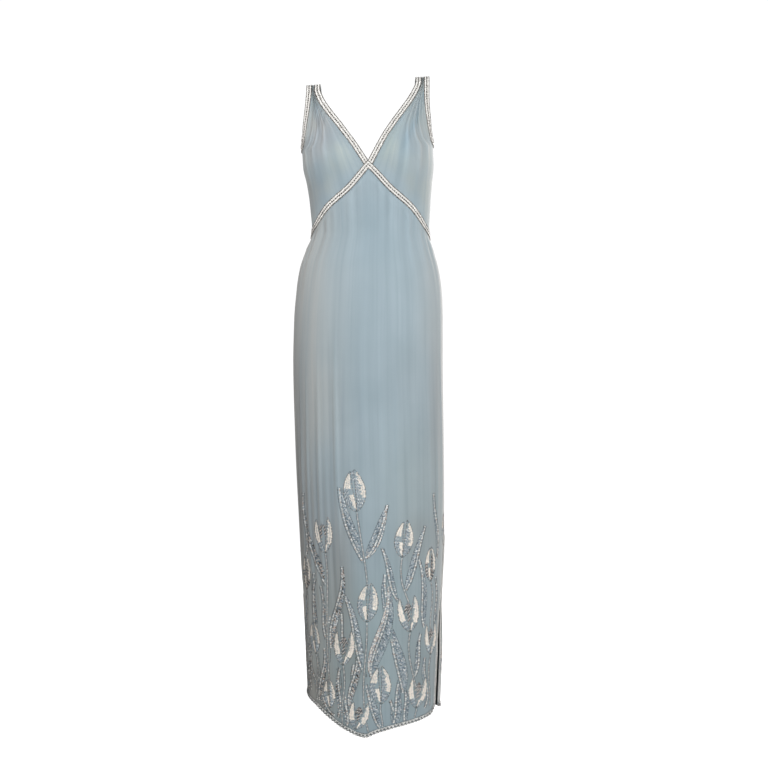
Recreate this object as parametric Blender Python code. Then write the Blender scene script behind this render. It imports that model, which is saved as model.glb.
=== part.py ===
"""Floor-length sleeveless gown with beaded bands, in the hollow shape it has when it is worn.

Metres, +Z up. The origin lies between the two shoulder straps, at the height of the shoulder
seams. +X is the wearer's left, -Y is the front. Every piece is a closed thin wall.

A place on the cloth has two coordinates. turn is the angle round the body: 0 at the centre
front, +90 degrees at the wearer's left side, 180 at the centre back. down is the length of
cloth from the shoulder seam along the front, so it also runs over the top of the shoulder.
"""
import math

import bpy
import numpy as np

# Walls and gaps
WALL = 0.0012
SEAM_GAP = 0.0003
TRIM_GAP = 0.0003
TRIM_WALL = 0.0015
# Turn that opens half a seam gap, at the least distance from the middle of the gown
SEAM_RADIUS = 0.1
SEAM_TURN = 0.5 * SEAM_GAP / SEAM_RADIUS

# Widths of the beaded bands
NECK_BAND = 0.0135
ARMHOLE_BAND = 0.012
UNDERBUST_BAND = 0.0135
HEM_BAND = 0.006
SLIT_BAND = 0.005

# Sections of the worn gown: height, half width, sideways shift, front depth, back depth,
# sideways tilt (rise per metre towards +X)
SECTIONS = (
    (0.000, 0.176, 0.000, 0.000, 0.000, 0.075),
    (-0.0012, 0.176, 0.000, 0.0085, 0.0085, 0.074),
    (-0.005, 0.176, 0.000, 0.017, 0.017, 0.073),
    (-0.019, 0.175, 0.000, 0.034, 0.036, 0.071),
    (-0.047, 0.172, -0.001, 0.055, 0.058, 0.066),
    (-0.091, 0.165, -0.002, 0.079, 0.080, 0.057),
    (-0.127, 0.154, -0.002, 0.096, 0.090, 0.050),
    (-0.150, 0.147, -0.001, 0.104, 0.093, 0.042),
    (-0.187, 0.147, 0.001, 0.108, 0.090, 0.030),
    (-0.232, 0.1406, 0.0035, 0.106, 0.085, 0.008),
    (-0.277, 0.1357, 0.005, 0.100, 0.080, -0.010),
    (-0.344, 0.1316, 0.006, 0.094, 0.078, -0.016),
    (-0.378, 0.1406, 0.0045, 0.096, 0.084, -0.012),
    (-0.418, 0.1539, 0.0025, 0.101, 0.094, 0.000),
    (-0.463, 0.1618, 0.0025, 0.106, 0.104, 0.000),
    (-0.535, 0.167, 0.0012, 0.110, 0.114, 0.000),
    (-0.625, 0.168, 0.000, 0.112, 0.114, 0.000),
    (-0.805, 0.1668, 0.0033, 0.112, 0.106, 0.000),
    (-1.030, 0.1615, 0.0087, 0.112, 0.102, 0.000),
    (-1.165, 0.1548, 0.0104, 0.112, 0.100, 0.000),
    (-1.278, 0.1528, 0.0135, 0.110, 0.100, 0.000),
    (-1.368, 0.1495, 0.0135, 0.108, 0.098, 0.000),
    (-1.480, 0.145, 0.0140, 0.107, 0.097, 0.000),
)
# How much squarer than an ellipse a section is
SQUARENESS = 0.09

# Darted fullness over the bust: sideways place, height, spreads and rise
BUST_SIDE = 0.075
BUST_HEIGHT = -0.182
BUST_SPREAD = 0.034
BUST_DROP = 0.036
BUST_RISE = 0.019

# Strap at the shoulder seam, from the neckline to the armhole
STRAP_INNER = 0.107
STRAP_OUTER = 0.1375

# Necklines: height, half width. Each ends on the centre line.
NECK_FRONT = ((0.0, STRAP_INNER), (-0.014, 0.1062), (-0.036, 0.0985), (-0.110, 0.0515))
NECK_BACK = ((0.0, STRAP_INNER), (-0.035, 0.103), (-0.095, 0.077), (-0.140, 0.036))
NECK_BACK_CENTRE = -0.158
# Length of the back neck band's mitred end for each unit of its width
NECK_BACK_MITRE = 1.15

# Armhole: its lowest point and how square its curve is
UNDERARM = -0.143
ARMHOLE_SQUARE = 2.6

# Seam under the bust: turn in degrees, height. The back keeps the height of the side.
UNDERBUST = ((0, -0.2035), (18.7, -0.2541), (39.5, -0.2896), (66.0, -0.331), (90, -0.349))

# Hem: turn in degrees, height. It dips to a soft point a little to the wearer's right.
HEM = (
    (-180, -1.376),
    (-90, -1.371),
    (-60, -1.382),
    (-40, -1.406),
    (-22, -1.432),
    (-7, -1.446),
    (3, -1.436),
    (20, -1.424),
    (42, -1.413),
    (55, -1.405),
    (64, -1.389),
    (80, -1.397),
    (108, -1.410),
    (142, -1.394),
    (180, -1.376),
)

# Slit at the wearer's left side: height, turn of its front edge, turn of its back edge
SLIT = (
    (-1.020, 90, 90),
    (-1.140, 77, 82),
    (-1.190, 69.5, 76),
    (-1.250, 64, 71),
    (-1.390, 62, 70),
)
SLIT_TOP = SLIT[0][0]

# Gathers let into the shoulder seam, and into the seam under the bust
SHOULDER_GATHERS = 5
SHOULDER_GATHER_RISE = 0.0022
SKIRT_GATHERS = 6
SKIRT_GATHER_RISE = 0.0016
SKIRT_GATHER_END = 0.120

# Long soft folds of the skirt: turn and spread in degrees, top and bottom heights, rise
FOLDS = (
    (-62, 9, -0.55, -1.38, 0.0035),
    (-42, 7, -0.66, -1.16, 0.0050),
    (-25, 6, -0.72, -1.10, 0.0035),
    (-8, 8, -0.90, -1.40, 0.0025),
    (14, 9, -0.62, -1.25, 0.0025),
    (40, 10, -0.50, -1.10, 0.0030),
    (63, 9, -0.60, -1.05, 0.0025),
    (112, 10, -0.56, -1.37, 0.0040),
    (138, 9, -0.62, -1.37, 0.0050),
    (163, 9, -0.70, -1.37, 0.0045),
    (196, 9, -0.64, -1.37, 0.0050),
    (224, 10, -0.60, -1.37, 0.0045),
    (250, 9, -0.58, -1.37, 0.0035),
)

# Rows and columns of the walls
ARMHOLE_ROWS = 12
SIDE_ROWS = 9
FRONT_COLUMNS = 20
BACK_COLUMNS = 12
STRIP_COLUMNS = 2
# How much of the front neckline is above the row that ends at the underarm
NECK_SHARE = 0.85
SKIRT_ROWS_ABOVE_SLIT = 13
SKIRT_ROWS_BELOW_SLIT = 7
SKIRT_ROW_GROWTH = 1.35
ROUTE_STEPS = 400

SIDE = math.pi / 2
BACK = math.pi

CLOTH_COLOUR = (0.36, 0.45, 0.50)
BEAD_COLOUR = (0.74, 0.72, 0.66)


def smooth(knots, values, at):
    """Values on a smooth curve through the knots, level where the values turn back."""
    knots = np.asarray(knots, float)
    values = np.asarray(values, float)
    step = np.diff(knots)
    rise = np.diff(values) / step
    before = rise[:-1]
    after = rise[1:]
    same_way = before * after > 0
    total = np.where(same_way, before + after, 1.0)
    slope = np.concatenate(([rise[0]], np.where(same_way, 2 * before * after / total, 0), [rise[-1]]))
    place = np.clip(at, knots[0], knots[-1])
    cell = np.clip(np.searchsorted(knots, place, side="right") - 1, 0, len(step) - 1)
    f = (place - knots[cell]) / step[cell]
    line = values[cell] + (values[cell + 1] - values[cell]) * f * f * (3 - 2 * f)
    lean = slope[cell] * f * (1 - f) ** 2 - slope[cell + 1] * f * f * (1 - f)
    return line + step[cell] * lean


def section_downs():
    """The length of cloth from the shoulder seam to each section, along the front."""
    rows = np.array(SECTIONS)
    leg = np.hypot(np.diff(rows[:, 0]), np.diff(rows[:, 3]))
    return np.concatenate(([0.0], np.cumsum(leg)))


SECTION_ROWS = np.array(SECTIONS)
SECTION_DOWNS = section_downs()


def section(column, down):
    """One column of the sections, at any length down the cloth."""
    return smooth(SECTION_DOWNS, SECTION_ROWS[:, column], down)


def down_at(height):
    """The length of cloth from the shoulder seam down to a height."""
    fine = np.linspace(0, SECTION_DOWNS[-1], 4000)
    return np.interp(-np.asarray(height, float), -section(0, fine), fine)


def bust(x, height, facing):
    """How far the cloth stands forward over the bust."""
    left = np.exp(-0.5 * ((x - BUST_SIDE) / BUST_SPREAD) ** 2)
    right = np.exp(-0.5 * ((x + BUST_SIDE) / BUST_SPREAD) ** 2)
    near_height = np.exp(-0.5 * ((height - BUST_HEIGHT) / BUST_DROP) ** 2)
    return BUST_RISE * (left + right) * near_height * np.clip(facing, 0, 1)


def surface(turn, down):
    """Points of the cloth's outer face, without folds."""
    turn = np.asarray(turn, float)
    down = np.asarray(down, float)
    height = section(0, down)
    sine = np.sin(turn)
    cosine = np.cos(turn)
    x = section(1, down) * sine * (1 + SQUARENESS * cosine ** 2)
    depth = np.where(cosine >= 0, section(3, down), section(4, down))
    y = -depth * cosine * (1 + SQUARENESS * sine ** 2) - bust(x, height, cosine)
    z = height + section(5, down) * x
    return np.stack(np.broadcast_arrays(x + section(2, down), y, z), axis=-1)


def tangents(turn, down):
    """How a point of the cloth moves with turn and with down."""
    small = 1e-4
    lower = np.maximum(down - small, 0)
    upper = lower + 2 * small
    by_turn = (surface(turn + small, down) - surface(turn - small, down)) / (2 * small)
    by_down = (surface(turn, upper) - surface(turn, lower)) / (upper - lower)[..., None]
    return by_turn, by_down


def outward(turn, down):
    """Unit normals of the cloth; straight up from the shoulder seam itself."""
    by_turn, by_down = tangents(turn, down)
    at_seam = (np.asarray(down) < SEAM_GAP)[..., None]
    away = np.where(np.cos(turn) >= 0, -1.0, 1.0)
    straight_away = np.stack(np.broadcast_arrays(0.0, away, 0.0), axis=-1)
    by_down = np.where(at_seam, straight_away, by_down)
    normal = np.cross(by_down, by_turn)
    return normal / np.linalg.norm(normal, axis=-1, keepdims=True)


def turn_at(half_width, down):
    """The turn, from 0 to 90 degrees, at which the cloth lies that far from the centre."""
    turns = np.linspace(0, SIDE, 2000)
    shares = np.sin(turns) * (1 + SQUARENESS * np.cos(turns) ** 2)
    return np.interp(half_width / section(1, down), shares, turns)


def steps_along(turn, down, shares):
    """Places at given shares of the length of a route on the cloth."""
    points = surface(turn, down)
    leg = np.linalg.norm(np.diff(points, axis=0), axis=1)
    length = np.concatenate(([0.0], np.cumsum(leg)))
    goal = shares * length[-1]
    return np.interp(goal, length, turn), np.interp(goal, length, down)


def beside(turn, down, distance):
    """Places at a distance square to a route, on its left as it is seen from outside."""
    points = surface(turn, down)
    along = np.gradient(points, axis=0)
    across = np.cross(outward(turn, down), along)
    across /= np.linalg.norm(across, axis=-1, keepdims=True)
    turn = turn.copy()
    down = down.copy()
    steps = 4
    for _ in range(steps):
        by_turn, by_down = tangents(turn, down)
        a = np.sum(by_turn * by_turn, axis=-1)
        b = np.sum(by_turn * by_down, axis=-1)
        c = np.sum(by_down * by_down, axis=-1)
        p = np.sum(by_turn * across, axis=-1) * distance / steps
        q = np.sum(by_down * across, axis=-1) * distance / steps
        turn += (c * p - b * q) / (a * c - b * b)
        down += (a * q - b * p) / (a * c - b * b)
        down = np.maximum(down, 0)
    return turn, down


def folded(turn):
    """The turn as it would be on the +X front: both sides and the back share its tables."""
    around = np.abs((np.asarray(turn, float) + BACK) % (2 * BACK) - BACK)
    return np.minimum(around, BACK - around), around > SIDE + 1e-9


def seam_down(turn):
    """Where the seam under the bust lies, at any turn."""
    near, behind = folded(turn)
    turns, heights = np.array(UNDERBUST).T
    return down_at(np.where(behind, heights[-1], smooth(np.radians(turns), heights, near)))


def seam_slant(turn):
    """Length along the seam under the bust for each unit of its level length, at the front."""
    near = np.clip(folded(turn)[0], 0.01, SIDE - 0.01)
    small = 0.01
    before = surface(near - small, seam_down(near - small))
    after = surface(near + small, seam_down(near + small))
    leg = after - before
    level = np.hypot(leg[..., 0], leg[..., 1])
    return np.hypot(level, leg[..., 2]) / level


def band_top(turn):
    """Upper edge of the band under the bust."""
    return seam_down(turn) - 0.5 * UNDERBUST_BAND * seam_slant(turn)


def band_bottom(turn):
    """Lower edge of the band under the bust."""
    return seam_down(turn) + 0.5 * UNDERBUST_BAND * seam_slant(turn)


def hem_down(turn):
    """Where the hem lies, at any turn."""
    around = (np.asarray(turn, float) + BACK) % (2 * BACK) - BACK
    turns, heights = np.array(HEM).T
    return down_at(smooth(np.radians(turns), heights, around))


def fold_lift(turn, down):
    """How far the long folds of the skirt stand out."""
    height = section(0, down)
    lift = np.zeros(np.broadcast(turn, down).shape)
    for middle, spread, top, bottom, rise in FOLDS:
        away = (np.degrees(turn) - middle + 180) % 360 - 180
        share = np.clip((height - bottom) / (top - bottom), 0, 1)
        lift += rise * np.exp(-0.5 * (away / spread) ** 2) * np.sin(math.pi * share ** 0.7)
    return lift


def neck_route(back):
    """Neckline of the +X side, from the shoulder seam to the centre line."""
    heights, half_widths = np.array(NECK_BACK if back else NECK_FRONT).T
    centre = down_at(NECK_BACK_CENTRE) if back else band_top(0.0)
    knots = np.append(down_at(heights), centre)
    down = np.linspace(0, centre, ROUTE_STEPS)
    turn = turn_at(smooth(knots, np.append(half_widths, 0.0), down), down)
    return (BACK - turn if back else turn), down


def armhole_route(back):
    """Armhole of the +X side, from the shoulder seam to the underarm."""
    share = np.linspace(0, SIDE, ROUTE_STEPS)
    start = turn_at(STRAP_OUTER, 0.0)
    down = down_at(UNDERARM) * np.sin(share) ** (2 / ARMHOLE_SQUARE)
    turn = start + (SIDE - start) * (1 - np.cos(share) ** (2 / ARMHOLE_SQUARE))
    return (BACK - turn if back else turn), down


def shoulder_turns(half_widths, back):
    """Turns on the shoulder seam at given distances from the centre."""
    turns = turn_at(half_widths, 0.0)
    return BACK - turns if back else turns


def strip(route, shares, width, side, seam_turns, last_turns, last_downs):
    """Rows across a band beside an edge, between a row on the shoulder seam and a given last row."""
    turn, down = steps_along(*route, shares)
    turns = [turn]
    downs = [down]
    for column in range(1, STRIP_COLUMNS + 1):
        new_turn, new_down = beside(turn, down, side * width * column / STRIP_COLUMNS)
        new_turn[0] = seam_turns[column]
        new_down[0] = 0.0
        new_turn[-1] = last_turns[column]
        new_down[-1] = last_downs[column]
        turns.append(new_turn)
        downs.append(new_down)
    return np.stack(turns, axis=1), np.stack(downs, axis=1)


def armhole_strip(back):
    """The band round half an armhole, ending on the side seam."""
    across = np.linspace(0, ARMHOLE_BAND, STRIP_COLUMNS + 1)
    side = 1 if back else -1
    shares = np.linspace(0, 1, ARMHOLE_ROWS + 1)
    seam_turns = shoulder_turns(STRAP_OUTER - across, back)
    downs = down_at(UNDERARM) + across
    return strip(armhole_route(back), shares, ARMHOLE_BAND, side, seam_turns, across * 0 + SIDE, downs)


def neck_strip(back, shares):
    """The band along half a neckline, ending on the centre line or on the band below it."""
    across = np.linspace(0, NECK_BAND, STRIP_COLUMNS + 1)
    route = neck_route(back)
    seam_turns = shoulder_turns(STRAP_INNER + across, back)
    if back:
        turns = across * 0 + BACK
        downs = route[1][-1] + across * NECK_BACK_MITRE
        return strip(route, shares, NECK_BAND, -1, seam_turns, turns, downs)
    turns = turn_at(across / seam_slant(0.0), band_top(0.0))
    return strip(route, shares, NECK_BAND, 1, seam_turns, turns, band_top(turns))


def filled(inner, outer, columns, bottom):
    """Rows between two edges; the last row follows the bottom curve."""
    share = np.linspace(0, 1, columns + 1)
    turn = inner[0][:, None] * (1 - share) + outer[0][:, None] * share
    down = inner[1][:, None] * (1 - share) + outer[1][:, None] * share
    fraction = np.clip(np.arange(len(turn)) - ARMHOLE_ROWS, 0, None)[:, None] / SIDE_ROWS
    return turn, down + fraction * (bottom(turn[-1]) - down[-1])


def side_rows(start, end, rows):
    """Places down the side seam, from the armhole's band to a lower edge."""
    down = np.linspace(start, end, rows + 1)[1:]
    return down * 0 + SIDE, down


def gather_lift(across, along):
    """Gathers that run from the shoulder seam and die away over the bust."""
    wave = 0.5 - 0.5 * np.cos(2 * math.pi * SHOULDER_GATHERS * across)
    edge = np.sqrt(np.clip(np.sin(math.pi * across), 0, 1))
    length = np.clip(np.sin(math.pi * along ** 0.75), 0, 1)
    return SHOULDER_GATHER_RISE * wave * edge * length


def front_bodice_blocks():
    """The +X front bodice as blocks of rows: body, neck band, armhole band, band under the bust."""
    rows = ARMHOLE_ROWS + SIDE_ROWS
    upper = np.linspace(0, NECK_SHARE, ARMHOLE_ROWS + 1)
    lower = np.linspace(NECK_SHARE, 1, SIDE_ROWS + 1)[1:]
    arm = armhole_strip(back=False)
    neck = neck_strip(False, np.append(upper, lower))
    side = side_rows(arm[1][-1, -1], band_top(SIDE), SIDE_ROWS)
    outer = tuple(np.append(a[:, -1], b) for a, b in zip(arm, side))
    inner = (neck[0][:, -1], neck[1][:, -1])
    turn, down = filled(inner, outer, FRONT_COLUMNS, band_top)
    across = np.linspace(0, 1, FRONT_COLUMNS + 1)[None, :]
    along = np.linspace(0, 1, rows + 1)[:, None]
    body = (turn, down, gather_lift(across, along))
    edge_turns = np.append(neck[0][-1, :-1], turn[-1])
    waist_turn = np.stack((edge_turns, edge_turns))
    waist_down = np.stack((band_top(edge_turns), seam_down(edge_turns)))
    waist = smooth_block(waist_turn, waist_down)
    return {"body": body, "neck": smooth_block(*neck), "arm": smooth_block(*arm), "waist": waist}


def back_bodice_blocks():
    """The +X back bodice as blocks of rows: body, neck band, armhole band."""
    arm = armhole_strip(back=True)
    neck = neck_strip(True, np.linspace(0, 1, ARMHOLE_ROWS + 1))
    side = side_rows(arm[1][-1, -1], seam_down(SIDE), SIDE_ROWS)
    centre_down = np.linspace(neck[1][-1, -1], seam_down(SIDE), SIDE_ROWS + 1)[1:]
    outer = tuple(np.append(a[:, -1], b) for a, b in zip(arm, side))
    inner = (np.append(neck[0][:, -1], centre_down * 0 + BACK), np.append(neck[1][:, -1], centre_down))
    turn, down = filled(inner, outer, BACK_COLUMNS, seam_down)
    return {"body": smooth_block(turn, down), "neck": smooth_block(*neck), "arm": smooth_block(*arm)}


def smooth_block(turn, down):
    """A block with no folds in it."""
    return turn, down, np.zeros(turn.shape)


def skirt_downs(turns):
    """Rows of the skirt for a set of turns at its top: seam, band, body, hem band, hem."""
    top = band_bottom(turns)
    hem = hem_down(turns)
    hem_top = hem - HEM_BAND
    side_top = band_bottom(SIDE)
    slit_share = (down_at(SLIT_TOP) - side_top) / (hem_down(SIDE) - HEM_BAND - side_top)
    above = slit_share * np.linspace(0, 1, SKIRT_ROWS_ABOVE_SLIT + 1) ** SKIRT_ROW_GROWTH
    below = np.linspace(slit_share, 1, SKIRT_ROWS_BELOW_SLIT + 1)[1:]
    body = [top + (hem_top - top) * share for share in np.append(above, below)]
    return np.stack([seam_down(turns), *body, hem])


SLIT_ROW = 1 + SKIRT_ROWS_ABOVE_SLIT


def slit_turn(down, column):
    """Turn of the slit's front edge (column 1) or back edge (column 2); on the side seam above it."""
    table = np.array(SLIT).T
    return smooth(down_at(table[0]), np.radians(table[column]), down)


def front_skirt_block(half_turns):
    """The front skirt, side seam to side seam, with its slit edge at +X."""
    turns = np.concatenate((-half_turns[:0:-1], half_turns))
    down = skirt_downs(turns)
    edge = slit_turn(down[:, -1], column=1)[:, None]
    turn = np.where(turns > 0, turns * edge / SIDE, turns + 0 * edge)
    down = refit(turn, down, turns)
    turn, down = narrow_edge(turn, down, column=-2, edge=-1)
    below = np.clip((down - band_bottom(turn)) / SKIRT_GATHER_END, 0, 1)
    wave = 0.5 - 0.5 * np.cos(2 * math.pi * SKIRT_GATHERS * np.abs(turns) / SIDE)
    length = np.clip(np.sin(math.pi * below ** 0.6), 0, 1)
    return turn, down, fold_lift(turn, down) + SKIRT_GATHER_RISE * wave * length


def back_skirt_block(left):
    """Half of the back skirt, from the +X side seam or the -X side seam to the centre back."""
    turns = np.linspace(SIDE, BACK, BACK_COLUMNS + 1)
    if not left:
        turns = 2 * BACK - turns
    down = skirt_downs(turns)
    turn = turns + 0 * down
    if left:
        edge = slit_turn(down[:, 0], column=2)[:, None]
        turn = BACK - (BACK - turns) * (BACK - edge) / SIDE
        down = refit(turn, down, turns)
        turn, down = narrow_edge(turn, down, column=1, edge=0)
    return turn, down, fold_lift(turn, down)


def refit(turn, down, turns):
    """Rows kept at their share of the skirt's length after their turns have moved."""
    top = seam_down(turns)
    share = (down - top) / (hem_down(turns) - top)
    return down + share * (hem_down(turn) - hem_down(turns))


def narrow_edge(turn, down, column, edge):
    """The column beside a slit edge, set at the width of the slit's band."""
    rows = slice(SLIT_ROW, None)
    reach = np.linalg.norm(tangents(turn[rows, edge], down[rows, edge])[0], axis=-1)
    toward = np.sign(turn[rows, column] - turn[rows, edge])
    turn[rows, column] = turn[rows, edge] + toward * SLIT_BAND / reach
    return turn, down


def behind_side_seam(block):
    """The back skirt's slit side, kept behind the side seam down to the top of the slit."""
    turn, down, lift = block
    above = np.arange(len(down))[:, None] <= SLIT_ROW
    return np.where(above, np.maximum(turn, SIDE + SEAM_TURN), turn), down, lift


def mirrored(block):
    """The same block on the -X side."""
    turn, down, lift = block
    return -turn, down, lift


def part_of(block, rows, columns):
    """A stretch of a block."""
    return tuple(values[rows, columns] for values in block)


def clear_of(block, turn_range=None, down_range=None):
    """A block kept half a seam gap inside given turns and downs."""
    turn, down, lift = block
    if turn_range:
        turn = np.clip(turn, turn_range[0] + SEAM_TURN, turn_range[1] - SEAM_TURN)
    if down_range:
        down = np.clip(down, down_range[0] + 0.5 * SEAM_GAP, down_range[1] - 0.5 * SEAM_GAP)
    return turn, down, lift


def waist_clear(block, above):
    """A block kept half a seam gap above or below the seam under the bust."""
    turn, down, lift = block
    gap = 0.5 * SEAM_GAP * seam_slant(turn)
    if above:
        return turn, np.minimum(down, seam_down(turn) - gap), lift
    return turn, np.maximum(down, seam_down(turn) + gap), lift


def grid_triangles(numbers):
    """Two triangles for each cell of a grid of vertex numbers."""
    a = numbers[:-1, :-1].ravel()
    b = numbers[:-1, 1:].ravel()
    c = numbers[1:, 1:].ravel()
    d = numbers[1:, :-1].ravel()
    return list(zip(a, b, c)) + list(zip(a, c, d))


def joined(blocks):
    """Points, normals and triangles of several blocks, joined where they meet."""
    places = {}
    points = []
    normals = []
    triangles = []
    for turn, down, lift in blocks:
        normal = outward(turn, down)
        point = surface(turn, down) + lift[..., None] * normal
        numbers = np.empty(turn.shape, int)
        for index in np.ndindex(turn.shape):
            key = tuple(np.round(point[index], 6) + 0.0)
            if key not in places:
                places[key] = len(points)
                points.append(point[index])
                normals.append(np.zeros(3))
            numbers[index] = places[key]
            normals[places[key]] += normal[index]
        triangles += [t for t in grid_triangles(numbers) if len(set(t)) == 3]
    normals = np.array([n / np.linalg.norm(n) for n in normals])
    return np.array(points), normals, triangles


def facing_out(points, normals, triangles):
    """The triangles with their corners in the order that faces outward."""
    result = []
    for a, b, c in triangles:
        face = np.cross(points[b] - points[a], points[c] - points[a])
        result.append((a, b, c) if face @ normals[a] > 0 else (a, c, b))
    return result


def add_wall(name, blocks, back_face, front_face, material):
    """One closed piece between two offsets from the cloth's outer face."""
    points, normals, triangles = joined(blocks)
    triangles = facing_out(points, normals, triangles)
    count = len(points)
    vertices = np.concatenate((points + front_face * normals, points + back_face * normals))
    faces = [tuple(int(v) for v in t) for t in triangles]
    faces += [(int(a) + count, int(c) + count, int(b) + count) for a, b, c in triangles]
    edges = {(t[i], t[(i + 1) % 3]) for t in triangles for i in range(3)}
    for a, b in sorted(edges):
        if (b, a) not in edges:
            a = int(a)
            b = int(b)
            faces.append((a, a + count, b + count))
            faces.append((a, b + count, b))
    mesh = bpy.data.meshes.new(name)
    mesh.from_pydata(vertices.tolist(), [], faces)
    mesh.materials.append(material)
    mesh.shade_smooth()
    mesh.set_sharp_from_angle(angle=math.radians(40))
    piece = bpy.data.objects.new(name, mesh)
    bpy.context.scene.collection.objects.link(piece)
    return piece


def add_panel(name, blocks, material):
    return add_wall(name, blocks, -WALL, 0.0, material)


def add_band(name, blocks, material):
    return add_wall(name, blocks, TRIM_GAP, TRIM_GAP + TRIM_WALL, material)


def make_material(name, colour, roughness):
    material = bpy.data.materials.new(name)
    material.use_nodes = True
    shader = material.node_tree.nodes["Principled BSDF"]
    shader.inputs["Base Color"].default_value = (*colour, 1.0)
    shader.inputs["Roughness"].default_value = roughness
    shader.inputs["Metallic"].default_value = 0.0
    return material


def clear_scene():
    for item in list(bpy.data.objects):
        bpy.data.objects.remove(item, do_unlink=True)


def make_bodice(front, back, cloth):
    """Four bodice panels, apart at the centre, side, shoulder and waist seams."""
    deepest = SECTION_DOWNS[-1]
    for side, word in ((1, "left"), (-1, "right")):
        front_turns = (0, SIDE) if side > 0 else (-SIDE, 0)
        back_turns = (SIDE, BACK) if side > 0 else (-BACK, -SIDE)
        for name, blocks, turns in (("front", front, front_turns), ("back", back, back_turns)):
            sided = [b if side > 0 else mirrored(b) for b in blocks.values()]
            trimmed = [waist_clear(clear_of(b, turns, (0, deepest)), above=True) for b in sided]
            add_panel(f"{name}_bodice_{word}", trimmed, cloth)


def make_skirt(front, back_left, back_right, cloth):
    """The front skirt in one panel and the back skirt in two."""
    panels = (
        ("front_skirt", front, (-SIDE, SIDE)),
        ("back_skirt_left", behind_side_seam(back_left), (0, BACK)),
        ("back_skirt_right", back_right, (BACK, 1.5 * BACK)),
    )
    for name, block, turns in panels:
        add_panel(name, [waist_clear(clear_of(block, turns), above=False)], cloth)


def make_neck_bands(front, back, beads):
    """Each neck band runs from the centre front over the shoulder to the centre back."""
    for side, word in ((1, "left"), (-1, "right")):
        blocks = [front["neck"], back["neck"]]
        if side < 0:
            blocks = [mirrored(b) for b in blocks]
        turns = ((0, SIDE), (SIDE, BACK)) if side > 0 else ((-SIDE, 0), (-BACK, -SIDE))
        trimmed = []
        for (turn, down, lift), limits in zip(blocks, turns):
            turn, down, lift = clear_of((turn, down, lift), limits)
            lowest = np.where(np.abs(turn) < SIDE, band_top(turn) - 0.5 * SEAM_GAP, down)
            trimmed.append((turn, np.minimum(down, lowest), lift))
        add_band(f"neck_band_{word}", trimmed, beads)


def make_armhole_bands(front, back, beads):
    """Each armhole band is a closed loop."""
    for side, word in ((1, "left"), (-1, "right")):
        blocks = [front["arm"], back["arm"]]
        if side < 0:
            blocks = [mirrored(b) for b in blocks]
        add_band(f"armhole_band_{word}", blocks, beads)


def make_underbust_band(front, skirt, beads):
    """One chevron over the seam under the bust, from side seam to side seam."""
    blocks = [front["waist"], mirrored(front["waist"]), part_of(skirt, slice(0, 2), slice(None))]
    trimmed = []
    for block in blocks:
        turn, down, lift = clear_of(block, (-SIDE, SIDE))
        trimmed.append((turn, np.maximum(down, band_top(turn) + 0.5 * SEAM_GAP), lift))
    add_band("underbust_band", trimmed, beads)


def make_hem_and_slit_bands(front, back_left, back_right, beads):
    """The hem's band runs from one slit edge round to the other; each slit edge has its own."""
    hem = slice(-2, None)
    add_band("hem_band", [part_of(b, hem, slice(None)) for b in (front, back_right, back_left)], beads)
    edges = (
        ("slit_band_front", clear_of(front, (-SIDE, SIDE)), slice(-2, None)),
        ("slit_band_back", behind_side_seam(back_left), slice(0, 2)),
    )
    for name, block, columns in edges:
        turn, down, lift = part_of(block, slice(SLIT_ROW, -1), columns)
        above_hem_band = np.minimum(down, down[-1] - SEAM_GAP)
        add_band(name, [(turn, above_hem_band, lift)], beads)


def main():
    clear_scene()
    cloth = make_material("silk_chiffon", CLOTH_COLOUR, 0.8)
    beads = make_material("beadwork", BEAD_COLOUR, 0.35)
    front = front_bodice_blocks()
    back = back_bodice_blocks()
    half_turns = front["waist"][0][1]
    front_skirt = front_skirt_block(half_turns)
    back_left = back_skirt_block(left=True)
    back_right = back_skirt_block(left=False)
    make_bodice(front, back, cloth)
    make_skirt(front_skirt, back_left, back_right, cloth)
    make_neck_bands(front, back, beads)
    make_armhole_bands(front, back, beads)
    make_underbust_band(front, front_skirt, beads)
    make_hem_and_slit_bands(front_skirt, back_left, back_right, beads)


main()
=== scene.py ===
"""Looks of a floor-length sleeveless gown: chiffon panels, beaded bands and a beaded flower border.

Metres, +Z up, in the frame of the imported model: the origin lies between the shoulder straps,
+X is the wearer's left and -Y is the front.

A place on the cloth has two coordinates. turn is the angle round the body: 0 at the centre
front, +90 degrees at the wearer's left side, 180 at the centre back. down is the length of
cloth from the shoulder seam along the front.
"""

import math
from collections import namedtuple

import bpy
import numpy as np
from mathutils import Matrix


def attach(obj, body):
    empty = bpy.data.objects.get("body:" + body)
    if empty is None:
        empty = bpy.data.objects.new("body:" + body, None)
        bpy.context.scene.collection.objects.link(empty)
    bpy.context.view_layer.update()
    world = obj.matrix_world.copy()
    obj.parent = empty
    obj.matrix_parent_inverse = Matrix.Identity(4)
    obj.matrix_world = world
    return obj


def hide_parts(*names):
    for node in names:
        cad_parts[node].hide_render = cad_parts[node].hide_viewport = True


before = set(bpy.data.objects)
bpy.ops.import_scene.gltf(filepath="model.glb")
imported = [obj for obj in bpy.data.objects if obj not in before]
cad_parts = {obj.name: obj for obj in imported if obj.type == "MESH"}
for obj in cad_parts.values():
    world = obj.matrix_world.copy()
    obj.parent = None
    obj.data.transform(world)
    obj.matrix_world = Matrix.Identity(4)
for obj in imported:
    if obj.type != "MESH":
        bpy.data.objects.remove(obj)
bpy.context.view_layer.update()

# Turns of the left side seam and of the centre back
SIDE = math.pi / 2
BACK = math.pi
# The sign of X on each side of the wearer, and the side's name
SIDES = ((1, "left"), (-1, "right"))
MM = 0.001

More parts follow.
